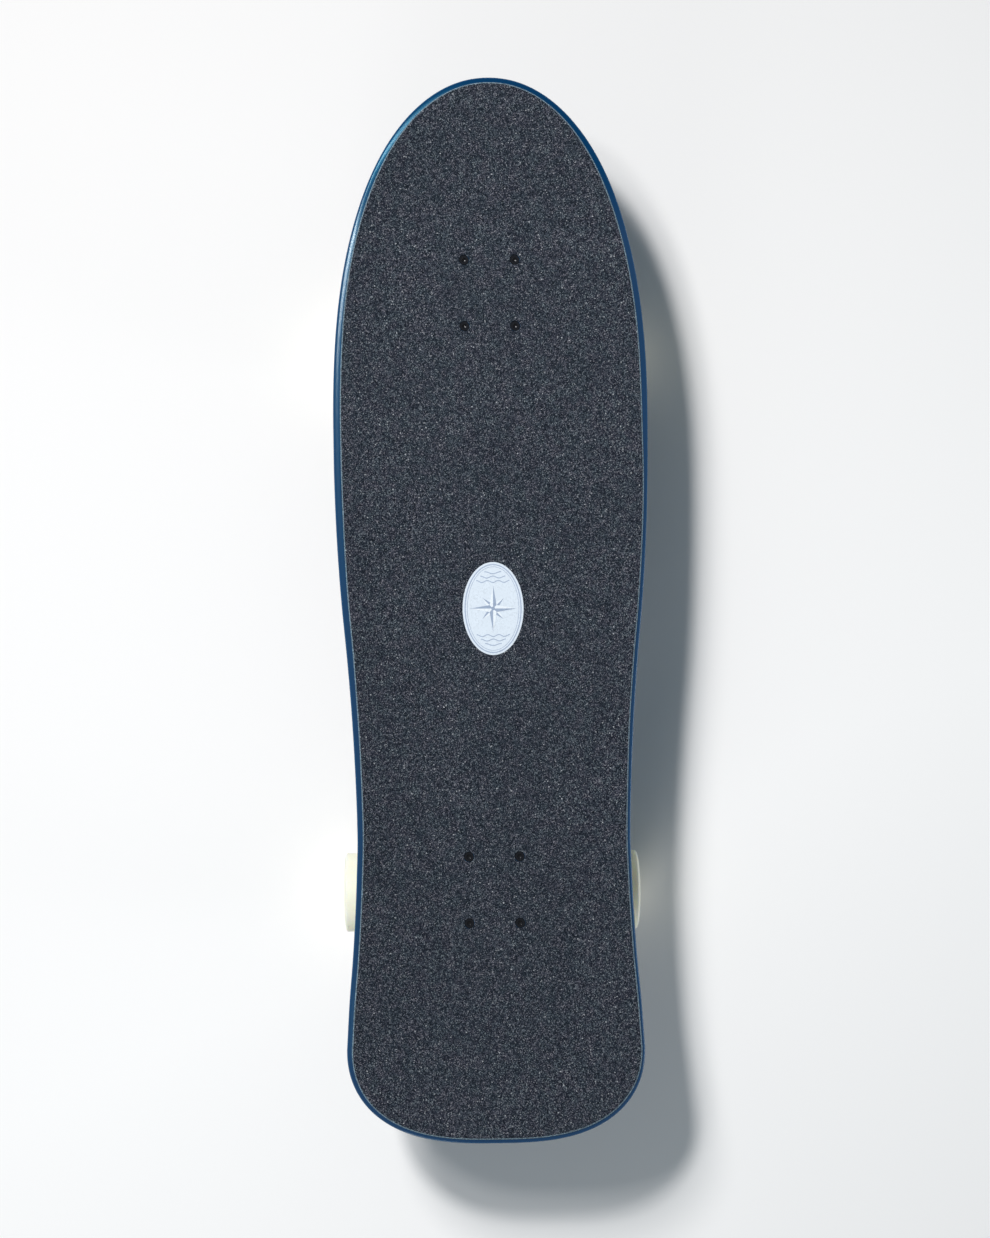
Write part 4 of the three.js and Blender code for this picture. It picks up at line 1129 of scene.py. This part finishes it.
def nut_shape(flats, height, collar, bore, insert=True):
    """A nut below its joint face, with chamfered corners and a nylon ring in its collar."""
    corner = flats / 2 / cos(pi / 6)
    low = -height - collar
    edge = min(NUT_EDGE, height / 5)
    wall = flats / 2 - GAP
    middle = (wall + bore) / 2
    chamfer = (corner - flats / 2) * NUT_SLOPE
    rings = circles([(bore, -edge), (bore + edge, 0.0)])
    faces = [(flats / 2, 0.0), (corner, -chamfer), (corner, chamfer - height), (flats / 2, -height)]
    rings += [hex_ring(flats, limit, level) for limit, level in faces]
    if not insert:
        return stacked(rings + circles([(bore + edge, -height), (bore, -height + edge)]), True)
    rings += circles([(wall, -height), (wall, low + 2 * edge), (wall - edge / 2, low + edge / 2)])
    rings += circles([(wall - 2 * edge, low), (middle, low + edge / 2)])
    rings += circles([(middle - TINY, low + edge), (bore, low + edge)])
    return stacked(rings, True, [0] * (len(rings) - 2) + [1, 0])


def make_deck_bolts():
    for name in TRUCKS:
        nut_face = WHEEL_RADIUS + PLATE_TOP[name] - PLATE_THICKNESS - GAP
        nut_end = nut_face - BOLT_NUT[1] - BOLT_NUT[2]
        bolt = data_of(name + "_deck_bolt", bolt_shape(HEAD_TOP - nut_end + BOLT_END), [black])
        nut = data_of(name + "_deck_nut", nut_shape(*BOLT_NUT, BOLT_RADIUS + FIT), [black, nylon])
        for i, (x, y) in enumerate(bolt_places(), 1):
            for kind, mesh, height in (("bolt", bolt, HEAD_TOP), ("nut", nut, nut_face)):
                at = shift(PATTERN_X[name] + x, y, height)
                label = f"{name}_{kind}_{i}"
                piece(label, mesh, "board", "black_steel", f"{name}_deck_{kind}_{i}", matrix=at)


# Risers
def make_risers():
    for name in TRUCKS:
        height = RISER_HEIGHT[name]
        pad = slab(PLATE_LENGTH, PLATE_WIDTH, PLATE_CORNER, 0.0, height, RISER_EDGE)
        window = slab(*RISER_WINDOW, RISER_WINDOW[1] / 3, -CUT_OVER, height + CUT_OVER, GAP)
        hole = rod(BOLT_HOLE, -CUT_OVER, height + CUT_OVER, sides=SMALL_SIDES)
        holes = merged(window, scattered(hole, bolt_places()))
        mesh = cut_mesh(data_of(name + "_riser", pad, [riser_look]), [holes])
        weld(mesh)
        shade(mesh)
        at = shift(PATTERN_X[name], 0, WHEEL_RADIUS + PLATE_TOP[name])
        piece(name + "_riser", mesh, "board", "riser", name + "_riser_pad", matrix=at)


# Wheels with their bearings, from the wheel's middle outwards along Z
def wheel_shape():
    half = WHEEL_WIDTH / 2
    seat = CORE_WIDTH / 2 - BEARING_COLLAR
    lip_depth = WHEEL_LIP * LIP_DEPTH_SHARE
    lip = []
    for i in range(LIP_STEPS + 1):
        angle = i / LIP_STEPS * pi / 2
        radius = WHEEL_RADIUS - WHEEL_LIP + WHEEL_LIP * cos(angle)
        lip.append((radius, half - lip_depth + lip_depth * sin(angle)))
    dish = [
        (RECESS_RADIUS + DISH_EDGE, half - WHEEL_SIDE_SLOPE + DISH_EDGE / 3),
        (RECESS_RADIUS - DISH_EDGE, half - WHEEL_SIDE_SLOPE - DISH_EDGE),
        (RECESS_FLOOR + DISH_EDGE, seat + GAP + DISH_EDGE),
        (RECESS_FLOOR - DISH_EDGE / 2, seat + GAP),
        (BEARING_RADIUS + GAP, seat + GAP),
        (BEARING_RADIUS + FIT, seat - BEARING_WIDTH - GAP),
        (WEB_RADIUS, seat - BEARING_WIDTH - GAP),
    ]
    side = lip + rounded([lip[-1]] + dish + [(WEB_RADIUS, 0.0)], DISH_EDGE)[1:-1]
    other = [(r, -h) for r, h in reversed(side)]
    return turned(side + other + side[:1], WHEEL_SIDES)


def bearing_shape():
    """Rings, shield and speed washer of one bearing, and the half spacer inside the wheel."""
    outer = CORE_WIDTH / 2
    face = outer - BEARING_COLLAR
    back = face - BEARING_WIDTH
    sunk = face - SHIELD_SINK
    shield_face = face - SHIELD_SINK / 2
    bore = AXLE_RADIUS + FIT
    race = BEARING_RADIUS - RACE_WIDTH
    inner = BEARING_INNER
    profile = [
        (bore, GAP / 2), (inner, GAP / 2), (inner, back), (BEARING_RADIUS, back), (BEARING_RADIUS, face),
        (race, face), (race, sunk), (race - RACE_STEP, sunk), (race - RACE_STEP, shield_face),
        (inner + RACE_STEP, shield_face), (inner + RACE_STEP, sunk), (inner, sunk),
        (inner, outer - RACE_STEP / 3), (inner - RACE_STEP / 3, outer), (bore, outer), (bore, GAP / 2),
    ]
    return turned(profile, ROUND_SIDES, [0] * 8 + [1] + [0] * 6)


def axle_shape():
    inner = WHEEL_CENTRE + CORE_WIDTH / 2
    end = inner + GAP + AXLE_NUT[1] + AXLE_NUT[2] + AXLE_END
    half = thread_rings(AXLE_RADIUS, inner, end - AXLE_CHAMFER, AXLE_PITCH, SMALL_SIDES)
    half.append(circle(AXLE_RADIUS - AXLE_CHAMFER, end, SMALL_SIDES))
    return stacked([[(x, y, -z) for x, y, z in ring] for ring in reversed(half)] + half)


def make_wheels():
    wheel = data_of("wheel", wheel_shape(), [urethane])
    reach = WHEEL_RADIUS * ROAD_SHARE * MM
    road = [1.0 if hypot(v.co.x, v.co.y) > reach else 0.0 for v in wheel.vertices]
    number_points(wheel, "road", road)
    bearing = data_of("bearing", bearing_shape(), [ground, shield])
    nut = data_of("axle_nut", nut_shape(*AXLE_NUT, AXLE_RADIUS + FIT), [zinc, nylon])
    axle = data_of("axle", axle_shape(), [zinc])
    for name in TRUCKS:
        hanger = name + "_hanger_body"
        at = shift(AXLE_X[name], 0, WHEEL_RADIUS) @ ON_AXLE
        piece(name + "_axle_rod", axle, hanger, "zinc", name + "_axle", matrix=at)
        for side, sign in (("left", 1), ("right", -1)):
            label = f"{name}_{side}"
            body = label + "_wheel_body"
            at = aimed((AXLE_X[name], sign * WHEEL_CENTRE, WHEEL_RADIUS), ALONG_Y * sign)
            for kind, mesh, rides, slot, node, place in (
                ("tyre", wheel, body, "urethane", "wheel", at),
                ("bearing_out", bearing, body, "bearing", "outer_bearing", at),
                ("bearing_in", bearing, body, "bearing", "inner_bearing", at @ FLIP),
                ("lock_nut", nut, hanger, "zinc", "axle_nut", at @ shift(z=CORE_WIDTH / 2 + GAP) @ FLIP),
            ):
                piece(f"{label}_{kind}", mesh, rides, slot, f"{label}_{node}", matrix=place)


# Castings, about their own axle
def hanger_casting():
    (inner, outer), (high, low) = SHOULDER_REACH, SHOULDER_HEIGHTS
    ends = [(0.0, HANGER_HALF), (BEAM_END_RADIUS, HANGER_HALF), (BEAM_END_RADIUS, outer)]
    beam = turned([(r, -y) for r, y in ends] + [(BEAM_RADIUS, 0.0)] + ends[::-1])
    outline = [(-outer, -low / 2), (outer, -low / 2), (outer, low)]
    outline += [(inner, high), (-inner, high), (-outer, low)]
    half = SHOULDER_DEPTH / 2
    shoulders = stacked([[(x, y, z) for y, z in outline] for x in (-half, half)])
    stub_start = RING_CENTRE + PIVOT_AXIS * (PIVOT_REACH - STUB_LENGTH)
    edge = RING_CENTRE + ACROSS_KINGPIN * (RING_RADIUS - RING_HALF)
    tip = RING_CENTRE + ACROSS_KINGPIN * RING_RADIUS
    upper = stub_start + ACROSS_PIVOT * STUB_RADIUS
    lower = stub_start - ACROSS_PIVOT * STUB_RADIUS
    neck = [
        (edge.x, edge.z - RING_HALF),
        (0.0, -BEAM_RADIUS / 2),
        (BEAM_RADIUS * cos(pi / 6), BEAM_RADIUS / 2),
        ((BEAM_RADIUS + lower.x) / 2, (BEAM_RADIUS + lower.z) / 2),
        (lower.x, lower.z),
        (upper.x, upper.z),
        ((tip.x + upper.x) / 2, (tip.z + upper.z) / 2),
        (tip.x, tip.z + RING_HALF),
        (edge.x, edge.z + RING_HALF),
    ]
    back, front = -STUB_LENGTH / 3, STUB_LENGTH
    stub = rounded([(0.0, back), (STUB_RADIUS, back), (STUB_RADIUS, front), (0.0, front)], STUB_RADIUS)
    shapes = [
        moved(beam, ON_AXLE),
        shoulders,
        rod(RING_RADIUS, -RING_HALF, RING_HALF, ON_KINGPIN),
        side_view(neck, NECK_HALF),
        moved(turned(stub), aimed(stub_start, PIVOT_AXIS)),
    ]
    hole = rod(RING_HOLE, -RING_RADIUS, RING_RADIUS, ON_KINGPIN)
    bore = rod(AXLE_RADIUS + TINY, -2 * HANGER_HALF, 2 * HANGER_HALF, ON_AXLE)
    return cast_mesh("hanger", shapes, (), [hole, bore])


def kingpin_top(top):
    lift = (top - KINGPIN_COVER - SEAT.z - KINGPIN_HEAD[0] * sin(KINGPIN_LEAN)) / KINGPIN_AXIS.z
    return SEAT_HEIGHT + lift


def seat_shapes(top):
    """The bushing seat and the pivot cup's boss; the casting's top face cuts both."""
    reach = (top - RING_CENTRE.z) / KINGPIN_AXIS.z
    post = rod(BUSHING_RADIUS + SEAT_RIM, SEAT_HEIGHT, reach, ON_KINGPIN)
    return [post, rod(BOSS_RADIUS, SOCKET_MOUTH, SOCKET_FLOOR + BOSS_WALL, ON_PIVOT)]


def seat_cuts(top):
    far = 3 * RING_RADIUS
    shank = rod(KINGPIN_RADIUS + GAP, -far, far, ON_KINGPIN)
    head = rod(KINGPIN_HEAD[0] + GAP, kingpin_top(top) - KINGPIN_HEAD[1] - GAP, far, ON_KINGPIN)
    return [shank, head, rod(SOCKET_RADIUS, SOCKET_MOUTH - 2 * CUT_OVER, SOCKET_FLOOR, ON_PIVOT)]


def above(height):
    """Everything above a height near a truck."""
    reach = 2 * PLATE_LENGTH
    return slab(reach, reach, PLATE_CORNER, height, height + reach, GAP)


def plate_slab(name):
    top = PLATE_TOP[name]
    made = slab(PLATE_LENGTH, PLATE_WIDTH, PLATE_CORNER, top - PLATE_THICKNESS, top, PLATE_EDGE)
    return moved(made, shift(PLATE_SHIFT[name]))


def plate_drills(name):
    """The four holes in use and, at one end, the two of the older, longer pattern."""
    top = PLATE_TOP[name]
    hole = rod(BOLT_HOLE, top - 2 * PLATE_THICKNESS, top + CUT_OVER)
    spare_x = -BOLT_SPACING[0] / 2 - SPARE_HOLE_SHIFT
    places = bolt_places() + [(spare_x, y * BOLT_SPACING[1] / 2) for y in (1, -1)]
    return scattered(hole, [(PLATE_SHIFT[name] + x, y) for x, y in places])


def rear_plate_casting():
    top = PLATE_TOP["rear"]
    mouth = RING_CENTRE + PIVOT_AXIS * SOCKET_MOUTH
    low = top - 2 * PLATE_THICKNESS
    middle = top - PLATE_THICKNESS / 2
    start = SEAT.x - BUSHING_RADIUS
    rib = [(start - 2 * RIB_WIDTH, middle), (start, low), (SEAT.x, low)]
    rib += [(mouth.x, low + PLATE_THICKNESS / 2), (mouth.x, middle)]
    shapes = [plate_slab("rear"), side_view(rib, RIB_WIDTH / 2)] + seat_shapes(top)
    return cast_mesh("rear_plate", shapes, (), [above(top), plate_drills("rear")] + seat_cuts(top))


def spring_hole(turns, low, high):
    place = around(SPRING_RADIUS, turns * tau, 0)
    return rod(WIRE_RADIUS + GAP / 2, low, high, ON_SWING @ shift(*place), SMALL_SIDES)


def front_plate_casting():
    top = PLATE_TOP["front"]
    bottom = top - PLATE_THICKNESS
    low = bottom - BOSS_DEPTH
    far = 2 * top
    boss = rod(HUB_RADIUS, low, bottom + GAP, ON_SWING)
    sleeve = rod(SLEEVE_RADIUS, HUB_BOTTOM - GAP, bottom, ON_SWING)
    bore = rod(SWING_BOLT_RADIUS + FIT, -far, far, ON_SWING)
    flats = SWING_NUT[0] + 2 * GAP
    pocket = stacked([hex_ring(flats, flats, top - SWING_NUT[1] - 2 * GAP), hex_ring(flats, flats, far)])
    tang = spring_hole(SPRING_TURNS, low - CUT_OVER, low + SPRING_TANG + GAP)
    drills = [above(top), plate_drills("front"), bore, moved(pocket, ON_SWING), tang]
    return cast_mesh("front_plate", [plate_slab("front"), boss, sleeve], (), drills)


def arm_casting():
    top = SEAT_TOP["front"]
    under = top - ARM_TOP_THICKNESS
    mouth = RING_CENTRE + PIVOT_AXIS * SOCKET_MOUTH - ACROSS_PIVOT * BOSS_RADIUS
    hub = rod(HUB_RADIUS, HUB_BOTTOM, HUB_TOP, ON_SWING)
    web = [(ARM_TRAIL, HUB_BOTTOM), (ARM_TRAIL, top), (mouth.x, top), (mouth.x, mouth.z)]
    web.append((ARM_TRAIL - HUB_RADIUS, HUB_BOTTOM))
    tail, front = SEAT.x - ARM_TAIL, mouth.x + CUT_OVER
    spine = [(tail, top - ARM_TOP_THICKNESS / 2), (SEAT.x - ARM_TAIL / 2, under)]
    spine += [(front, under), (front, top), (tail, top)]
    spring_space = SPRING_RADIUS + WIRE_RADIUS + 2 * GAP
    start, end = mouth.x + POCKET_MARGIN, ARM_TRAIL - spring_space - POCKET_MARGIN
    low, high = HUB_TOP - POCKET_MARGIN, top - POCKET_MARGIN
    pocket = slab(end - start, high - low, CUT_OVER, -POCKET_DEPTH, POCKET_DEPTH, GAP)
    lie = Matrix.Rotation(pi / 2, 4, "X")
    middle = ((start + end) / 2, (low + high) / 2)
    pockets = [moved(pocket, shift(middle[0], side, middle[1]) @ lie) for side in (ARM_HALF, -ARM_HALF)]
    well = rod(spring_space, HUB_TOP, 2 * top, ON_SWING)
    bore = rod(SLEEVE_RADIUS + GAP + BUSH_WALL + FIT, -top, 2 * top, ON_SWING)
    tang = spring_hole(0, HUB_TOP - SPRING_TANG - GAP, HUB_TOP + CUT_OVER)
    shapes = [hub, side_view(web, ARM_HALF), side_view(spine, ARM_HALF)] + seat_shapes(top)
    return cast_mesh("arm", shapes, pockets, [above(top), well, bore, tang] + seat_cuts(top))


def make_castings():
    hanger = hanger_casting()
    front, rear = truck_place("front"), truck_place("rear")
    for label, mesh, body, node, at in (
        ("front_hanger_cast", hanger, "front_hanger_body", "front_hanger", front),
        ("rear_hanger_cast", hanger, "rear_hanger_body", "rear_hanger", rear),
        ("front_plate_cast", front_plate_casting(), "board", "front_base_plate", front),
        ("swing_arm_cast", arm_casting(), "swing_arm_body", "swing_arm", front),
        ("rear_plate_cast", rear_plate_casting(), "board", "rear_base_plate", rear),
    ):
        piece(label, mesh, body, "cast_alloy", node, matrix=at)


# What sits on the kingpins
def kingpin_shape(top):
    head_top = kingpin_top(top)
    end = NUT_TOP - GAP - KINGPIN_NUT[1] - KINGPIN_NUT[2] - KINGPIN_END
    thread_end = NUT_TOP + WASHER_THICKNESS
    radius, height = KINGPIN_HEAD
    rings = [circle(KINGPIN_RADIUS - KINGPIN_PITCH, end)]
    rings += thread_rings(KINGPIN_RADIUS, end + KINGPIN_PITCH / 2, thread_end, KINGPIN_PITCH)
    head = [(KINGPIN_RADIUS, head_top - height), (radius, head_top - height)]
    return stacked(rings + circles(head + [(radius, head_top - NUT_EDGE), (radius - NUT_EDGE, head_top)]))


def round_shape(hole, outline, edge):
    """A ring from its hole to an outline that runs upwards, with its corners rounded."""
    low, high = (hole, outline[0][1]), (hole, outline[-1][1])
    return turned(rounded([low] + outline + [high, low], edge), FINE_SIDES)


def bushing_shapes():
    """The barrel on the board's side of the hanger and the cone on the road's."""
    hole = KINGPIN_RADIUS + FIT
    wide = BUSHING_RADIUS
    low, high = RING_HALF + GAP, SEAT_HEIGHT - GAP
    band = BOARD_BUSHING * BUSHING_BAND_SHARE
    outline = [(wide, low), (wide, low + band), (BUSHING_NECK, (low + high) / 2)]
    barrel = round_shape(hole, outline + [(wide, high - band), (wide, high)], BUSHING_EDGE)
    high = -RING_HALF - GAP
    low = high - ROAD_BUSHING + 2 * GAP
    outline = [(BUSHING_TIP, low), (wide, high - ROAD_BUSHING * BUSHING_BAND_SHARE), (wide, high)]
    return barrel, round_shape(hole, outline, BUSHING_EDGE)


def washer_shape():
    top = NUT_TOP + WASHER_THICKNESS
    half = WASHER_THICKNESS / 2
    outline = [(WASHER_RADIUS - WASHER_THICKNESS, NUT_TOP), (WASHER_RADIUS, top - half)]
    outline += [(WASHER_RADIUS, top + half), (WASHER_RADIUS - half, top + half)]
    outline.append((WASHER_RADIUS - WASHER_THICKNESS, top))
    return round_shape(KINGPIN_RADIUS + FIT, outline, half / 2)


def cup_shape():
    deep = PIVOT_REACH + GAP
    profile = [(0.0, deep), (CUP_INNER / 2, deep), (CUP_INNER, deep - STUB_RADIUS / 2)]
    profile += [(CUP_INNER, SOCKET_MOUTH), (CUP_OUTER, SOCKET_MOUTH)]
    profile += [(CUP_OUTER, deep + CUP_FLOOR), (0.0, deep + CUP_FLOOR)]
    return turned(rounded(profile, GAP * 3), FINE_SIDES)


def make_kingpins():
    barrel, cone = [data_of("bushing", shape, [bushing_look]) for shape in bushing_shapes()]
    washer = data_of("washer", washer_shape(), [zinc])
    cup = data_of("cup", cup_shape(), [cup_look])
    nut = data_of("kingpin_lock_nut", nut_shape(*KINGPIN_NUT, KINGPIN_RADIUS + FIT), [zinc, nylon])
    for name, parent in (("front", "swing_arm_body"), ("rear", "board")):
        at = truck_place(name) @ ON_KINGPIN
        pin = data_of(name + "_pin", kingpin_shape(SEAT_TOP[name]), [zinc])
        for kind, mesh, slot, node, place in (
            ("king_bolt", pin, "zinc", "kingpin", at),
            ("king_nut", nut, "zinc", "kingpin_nut", at @ shift(z=NUT_TOP - GAP)),
            ("washer", washer, "zinc", "cup_washer", at),
            ("cup", cup, "bushing", "pivot_cup", truck_place(name) @ ON_PIVOT),
        ):
            piece(f"{name}_{kind}", mesh, parent, slot, f"{name}_{node}", matrix=place)
        for kind, mesh, side, start, end in (
            ("barrel", barrel, "board", SEAT_HEIGHT - GAP, RING_HALF + GAP),
            ("cone", cone, "road", NUT_TOP + WASHER_THICKNESS + GAP, -RING_HALF - GAP),
        ):
            label = f"{name}_{kind}_bushing"
            node = f"{name}_{side}_side_bushing"
            ends = along_axis(at, (start, end))
            soft_piece(label, mesh, "bushing", node, at, (parent, name + "_hanger_body"), *ends)


# Swing pivot and its spring
def spring_line():
    """The wire's middle line as (angle, height) pairs, with a tang bent off at each end."""
    bend = WIRE_RADIUS + GAP
    corner = bend / SPRING_RADIUS
    top = PLATE_TOP["front"] - PLATE_THICKNESS - BOSS_DEPTH
    total = SPRING_TURNS * tau
    low, high = HUB_TOP + bend, top - bend
    quarter = [k / CORNER_STEPS * pi / 2 for k in range(CORNER_STEPS + 1)]
    count = round(SPRING_TURNS * SPRING_STEPS)
    line = [(0.0, HUB_TOP - SPRING_TANG), (0.0, HUB_TOP - SPRING_TANG / 2)]
    line += [(corner * (1 - cos(a)), HUB_TOP + bend * sin(a)) for a in quarter]
    for i in range(1, count):
        line.append((corner + (total - 2 * corner) * i / count, low + (high - low) * i / count))
    line += [(total - corner * (1 - sin(a)), high + bend * (1 - cos(a))) for a in quarter]
    return line + [(total, top + SPRING_TANG / 2), (total, top + SPRING_TANG)]


def spring_shape():
    path = [Vector(around(SPRING_RADIUS, a, h)) for a, h in spring_line()]
    rings = []
    for i, place in enumerate(path):
        ahead = (path[min(len(path) - 1, i + 1)] - path[max(0, i - 1)]).normalized()
        outward = Vector((place.x, place.y, 0)).normalized()
        side = ahead.cross(outward).normalized()
        outward = side.cross(ahead).normalized()
        ring = []
        for k in range(WIRE_SIDES):
            angle = tau * k / WIRE_SIDES
            point = place + (outward * cos(angle) + side * sin(angle)) * WIRE_RADIUS
            ring.append(tuple(point + Vector((ARM_TRAIL, 0, 0))))
        rings.append(ring)
    return stacked(rings)


def swing_bolt_shape():
    top = PLATE_TOP["front"]
    high = HUB_BOTTOM - 3 * GAP - THRUST_THICKNESS
    flats, height = SWING_HEAD
    low = high - height
    corner = flats / 2 / cos(pi / 6)
    slope = (corner - flats / 2) * NUT_SLOPE
    half = flats / 2
    head = [(half - NUT_EDGE, low), (half, low + slope / 3), (corner, low + slope), (corner, high - NUT_EDGE)]
    rings = [hex_ring(flats, limit, level) for limit, level in head]
    rings += circles([(half, high - NUT_EDGE), (half, high), (SWING_BOLT_RADIUS, high)])
    thread_end = top - GAP - NUT_EDGE
    rings += thread_rings(SWING_BOLT_RADIUS, top - 2 * SWING_NUT[1], thread_end, KINGPIN_PITCH)
    return stacked(rings + [circle(SWING_BOLT_RADIUS - NUT_EDGE, top - GAP)])


def make_swing_pivot():
    truck = truck_place("front")
    at = truck @ ON_SWING
    top = PLATE_TOP["front"]
    nut = nut_shape(*SWING_NUT, 0.0, SWING_BOLT_RADIUS + FIT, False)
    outer = SLEEVE_RADIUS + GAP + BUSH_WALL
    bush = round_shape(SLEEVE_RADIUS + GAP / 2, [(outer, HUB_BOTTOM), (outer, HUB_TOP)], GAP)
    high = HUB_BOTTOM - 2 * GAP
    outline = [(THRUST_RADIUS, high - THRUST_THICKNESS), (THRUST_RADIUS, high)]
    washer = round_shape(SWING_BOLT_RADIUS + FIT, outline, GAP)
    for label, shape, look, body, slot, node, place in (
        ("swing_bolt", swing_bolt_shape(), zinc, "board", "zinc", "swing_pivot_bolt", at),
        ("swing_nut", nut, zinc, "board", "zinc", "swing_pivot_nut", at @ shift(z=top - GAP)),
        ("bush_sleeve", bush, bronze, "swing_arm_body", "bronze", "swing_bush", at),
        ("thrust_ring", washer, bronze, "board", "bronze", "swing_thrust_washer", at),
    ):
        piece(label, data_of(label, shape, [look]), body, slot, node, matrix=place)
    spring = data_of("coil_spring", spring_shape(), [spring_black])
    ends = along_axis(at, (top - PLATE_THICKNESS - BOSS_DEPTH, HUB_TOP))
    bodies = ("board", "swing_arm_body")
    soft_piece("coil_spring", spring, "spring_steel", "centring_spring", truck, bodies, *ends)


# Stage: the camera at the photograph's place, high over the board and a little to the rider's left
CAMERA_PLACE = (-0.0357, 0.0566, 2.247)
CAMERA_TURN = (-1.58, -0.719, -0.468)
CAMERA_LENS = 75.93
CAMERA_SENSOR = 36.0
STRAIGHT_DOWN = Matrix(((0, 1, 0), (-1, 0, 0), (0, 0, 1)))

# Floor in metres: where it fades out, and how its white changes along the lamp's direction, as painted shade
# that darkens the paper near the lamps to even out their falloff
FLOOR_FADE = (1.3, 3.6)
FLOOR_RUN = (0.75, -0.25)
FLOOR_SLANT = 0.45
FLOOR_SHADE_NEAR_LAMP = (0.765, 0.743, 0.73)
FLOOR_FAR = (0.985, 0.965, 0.95)
FLOOR_ROUGHNESS = 0.9

# Light: the sky, the white that is seen behind the board and in its gloss, and lamps by
# direction, distance, size and level, the share of white that a lamp gives a level floor
SKY = ((0.66, 0.86, 1.0), 0.18)
BACKDROP = ((0.96, 0.965, 0.97), 1.0)
LAMPS = {
    "key": ((0.429, 0.336, 1.0), 3.2, 0.3, 0.34),
    "key_wash": ((0.538, 0.416, 1.0), 2.85, 0.6, 0.36),
    "rim_light": ((0.3, 0.42, 1.0), 3.0, 0.32, 0.13),
    "tail_fill": ((-1.6, 0.4, 0.6), 2.6, 0.9, 0.06),
    "right_fill": ((-0.3, -1.6, 0.12), 2.6, 1.0, 0.02),
}


def make_camera():
    data = bpy.data.cameras.new("camera")
    data.lens = CAMERA_LENS
    data.sensor_width = CAMERA_SENSOR
    made = scratch_object("camera", data)
    turn = Euler([radians(a) for a in CAMERA_TURN]).to_matrix() @ STRAIGHT_DOWN
    made.matrix_world = Matrix.Translation(CAMERA_PLACE) @ turn.to_4x4()
    bpy.context.scene.camera = made


def make_lamp(name, direction, distance, size, level):
    data = bpy.data.lights.new(name, "AREA")
    data.shape = "DISK"
    data.size = size
    towards = Vector(direction).normalized()
    data.energy = level * pi**2 * distance**2 / towards.z
    made = scratch_object(name, data)
    made.location = towards * distance
    made.rotation_mode = "QUATERNION"
    made.rotation_quaternion = (-towards).to_track_quat("-Z", "Y")


def floor_look():
    """White paper with painted shade, greyer on the lamp's side to even out the lamps' falloff, that fades
    out far away and is see-through from below.
    """
    look = Look("floor_paper", FLOOR_SHADE_NEAR_LAMP, FLOOR_ROUGHNESS)
    along, across = [look.part("SeparateXYZ", axis, look.place) for axis in (0, 1)]
    towards_lamp = look.math("ADD", along, look.math("MULTIPLY", across, FLOOR_SLANT))
    # Painted shade: darker towards the lamps, lighter away from them
    share = look.band(towards_lamp, *FLOOR_RUN)
    look.put(Base_Color=look.mix(share, FLOOR_SHADE_NEAR_LAMP, FLOOR_FAR), Specular_IOR_Level=0.0)
    away = look.node("VectorMath", "Value", {0: look.place}, operation="LENGTH")
    near = look.band(away, *FLOOR_FADE[::-1], "SMOOTHSTEP")
    from_above = look.math("SUBTRACT", 1.0, look.node("NewGeometry", "Backfacing"))
    look.put(Alpha=look.math("MULTIPLY", near, from_above))
    return look.made


def make_floor():
    reach = FLOOR_FADE[1]
    corners = [(x * reach, y * reach, 0) for x, y in ((-1, -1), (1, -1), (1, 1), (-1, 1))]
    mesh = bpy.data.meshes.new("floor")
    mesh.from_pydata(corners, [], [(0, 1, 2, 3)])
    mesh.materials.append(floor_look())
    floor = scratch_object("floor", mesh)


def make_world():
    """The sky lights the board; the camera, gloss and clear parts see the white backdrop instead."""
    world = bpy.data.worlds.new("world")
    bpy.context.scene.world = world
    world.use_nodes = True
    nodes, links = world.node_tree.nodes, world.node_tree.links
    choose = nodes.new("ShaderNodeMixShader")
    backs = (nodes["Background"], nodes.new("ShaderNodeBackground"))
    for socket, (back, (colour, level)) in enumerate(zip(backs, (SKY, BACKDROP)), 1):
        back.inputs["Color"].default_value = (*colour, 1.0)
        back.inputs["Strength"].default_value = level
        links.new(back.outputs[0], choose.inputs[socket])
    path = nodes.new("ShaderNodeLightPath")
    seen = path.outputs["Is Camera Ray"]
    for kind in ("Is Glossy Ray", "Is Transmission Ray"):
        either = nodes.new("ShaderNodeMath")
        either.operation = "MAXIMUM"
        links.new(seen, either.inputs[0])
        links.new(path.outputs[kind], either.inputs[1])
        seen = either.outputs[0]
    links.new(seen, choose.inputs[0])
    links.new(choose.outputs[0], nodes["World Output"].inputs["Surface"])


make_deck()
make_grip()
make_emblem()
make_deck_bolts()
make_risers()
make_wheels()
make_castings()
make_kingpins()
make_swing_pivot()
make_camera()
make_floor()
make_world()
for name, row in LAMPS.items():
    make_lamp(name, *row)
bpy.context.scene.view_settings.view_transform = "Standard"
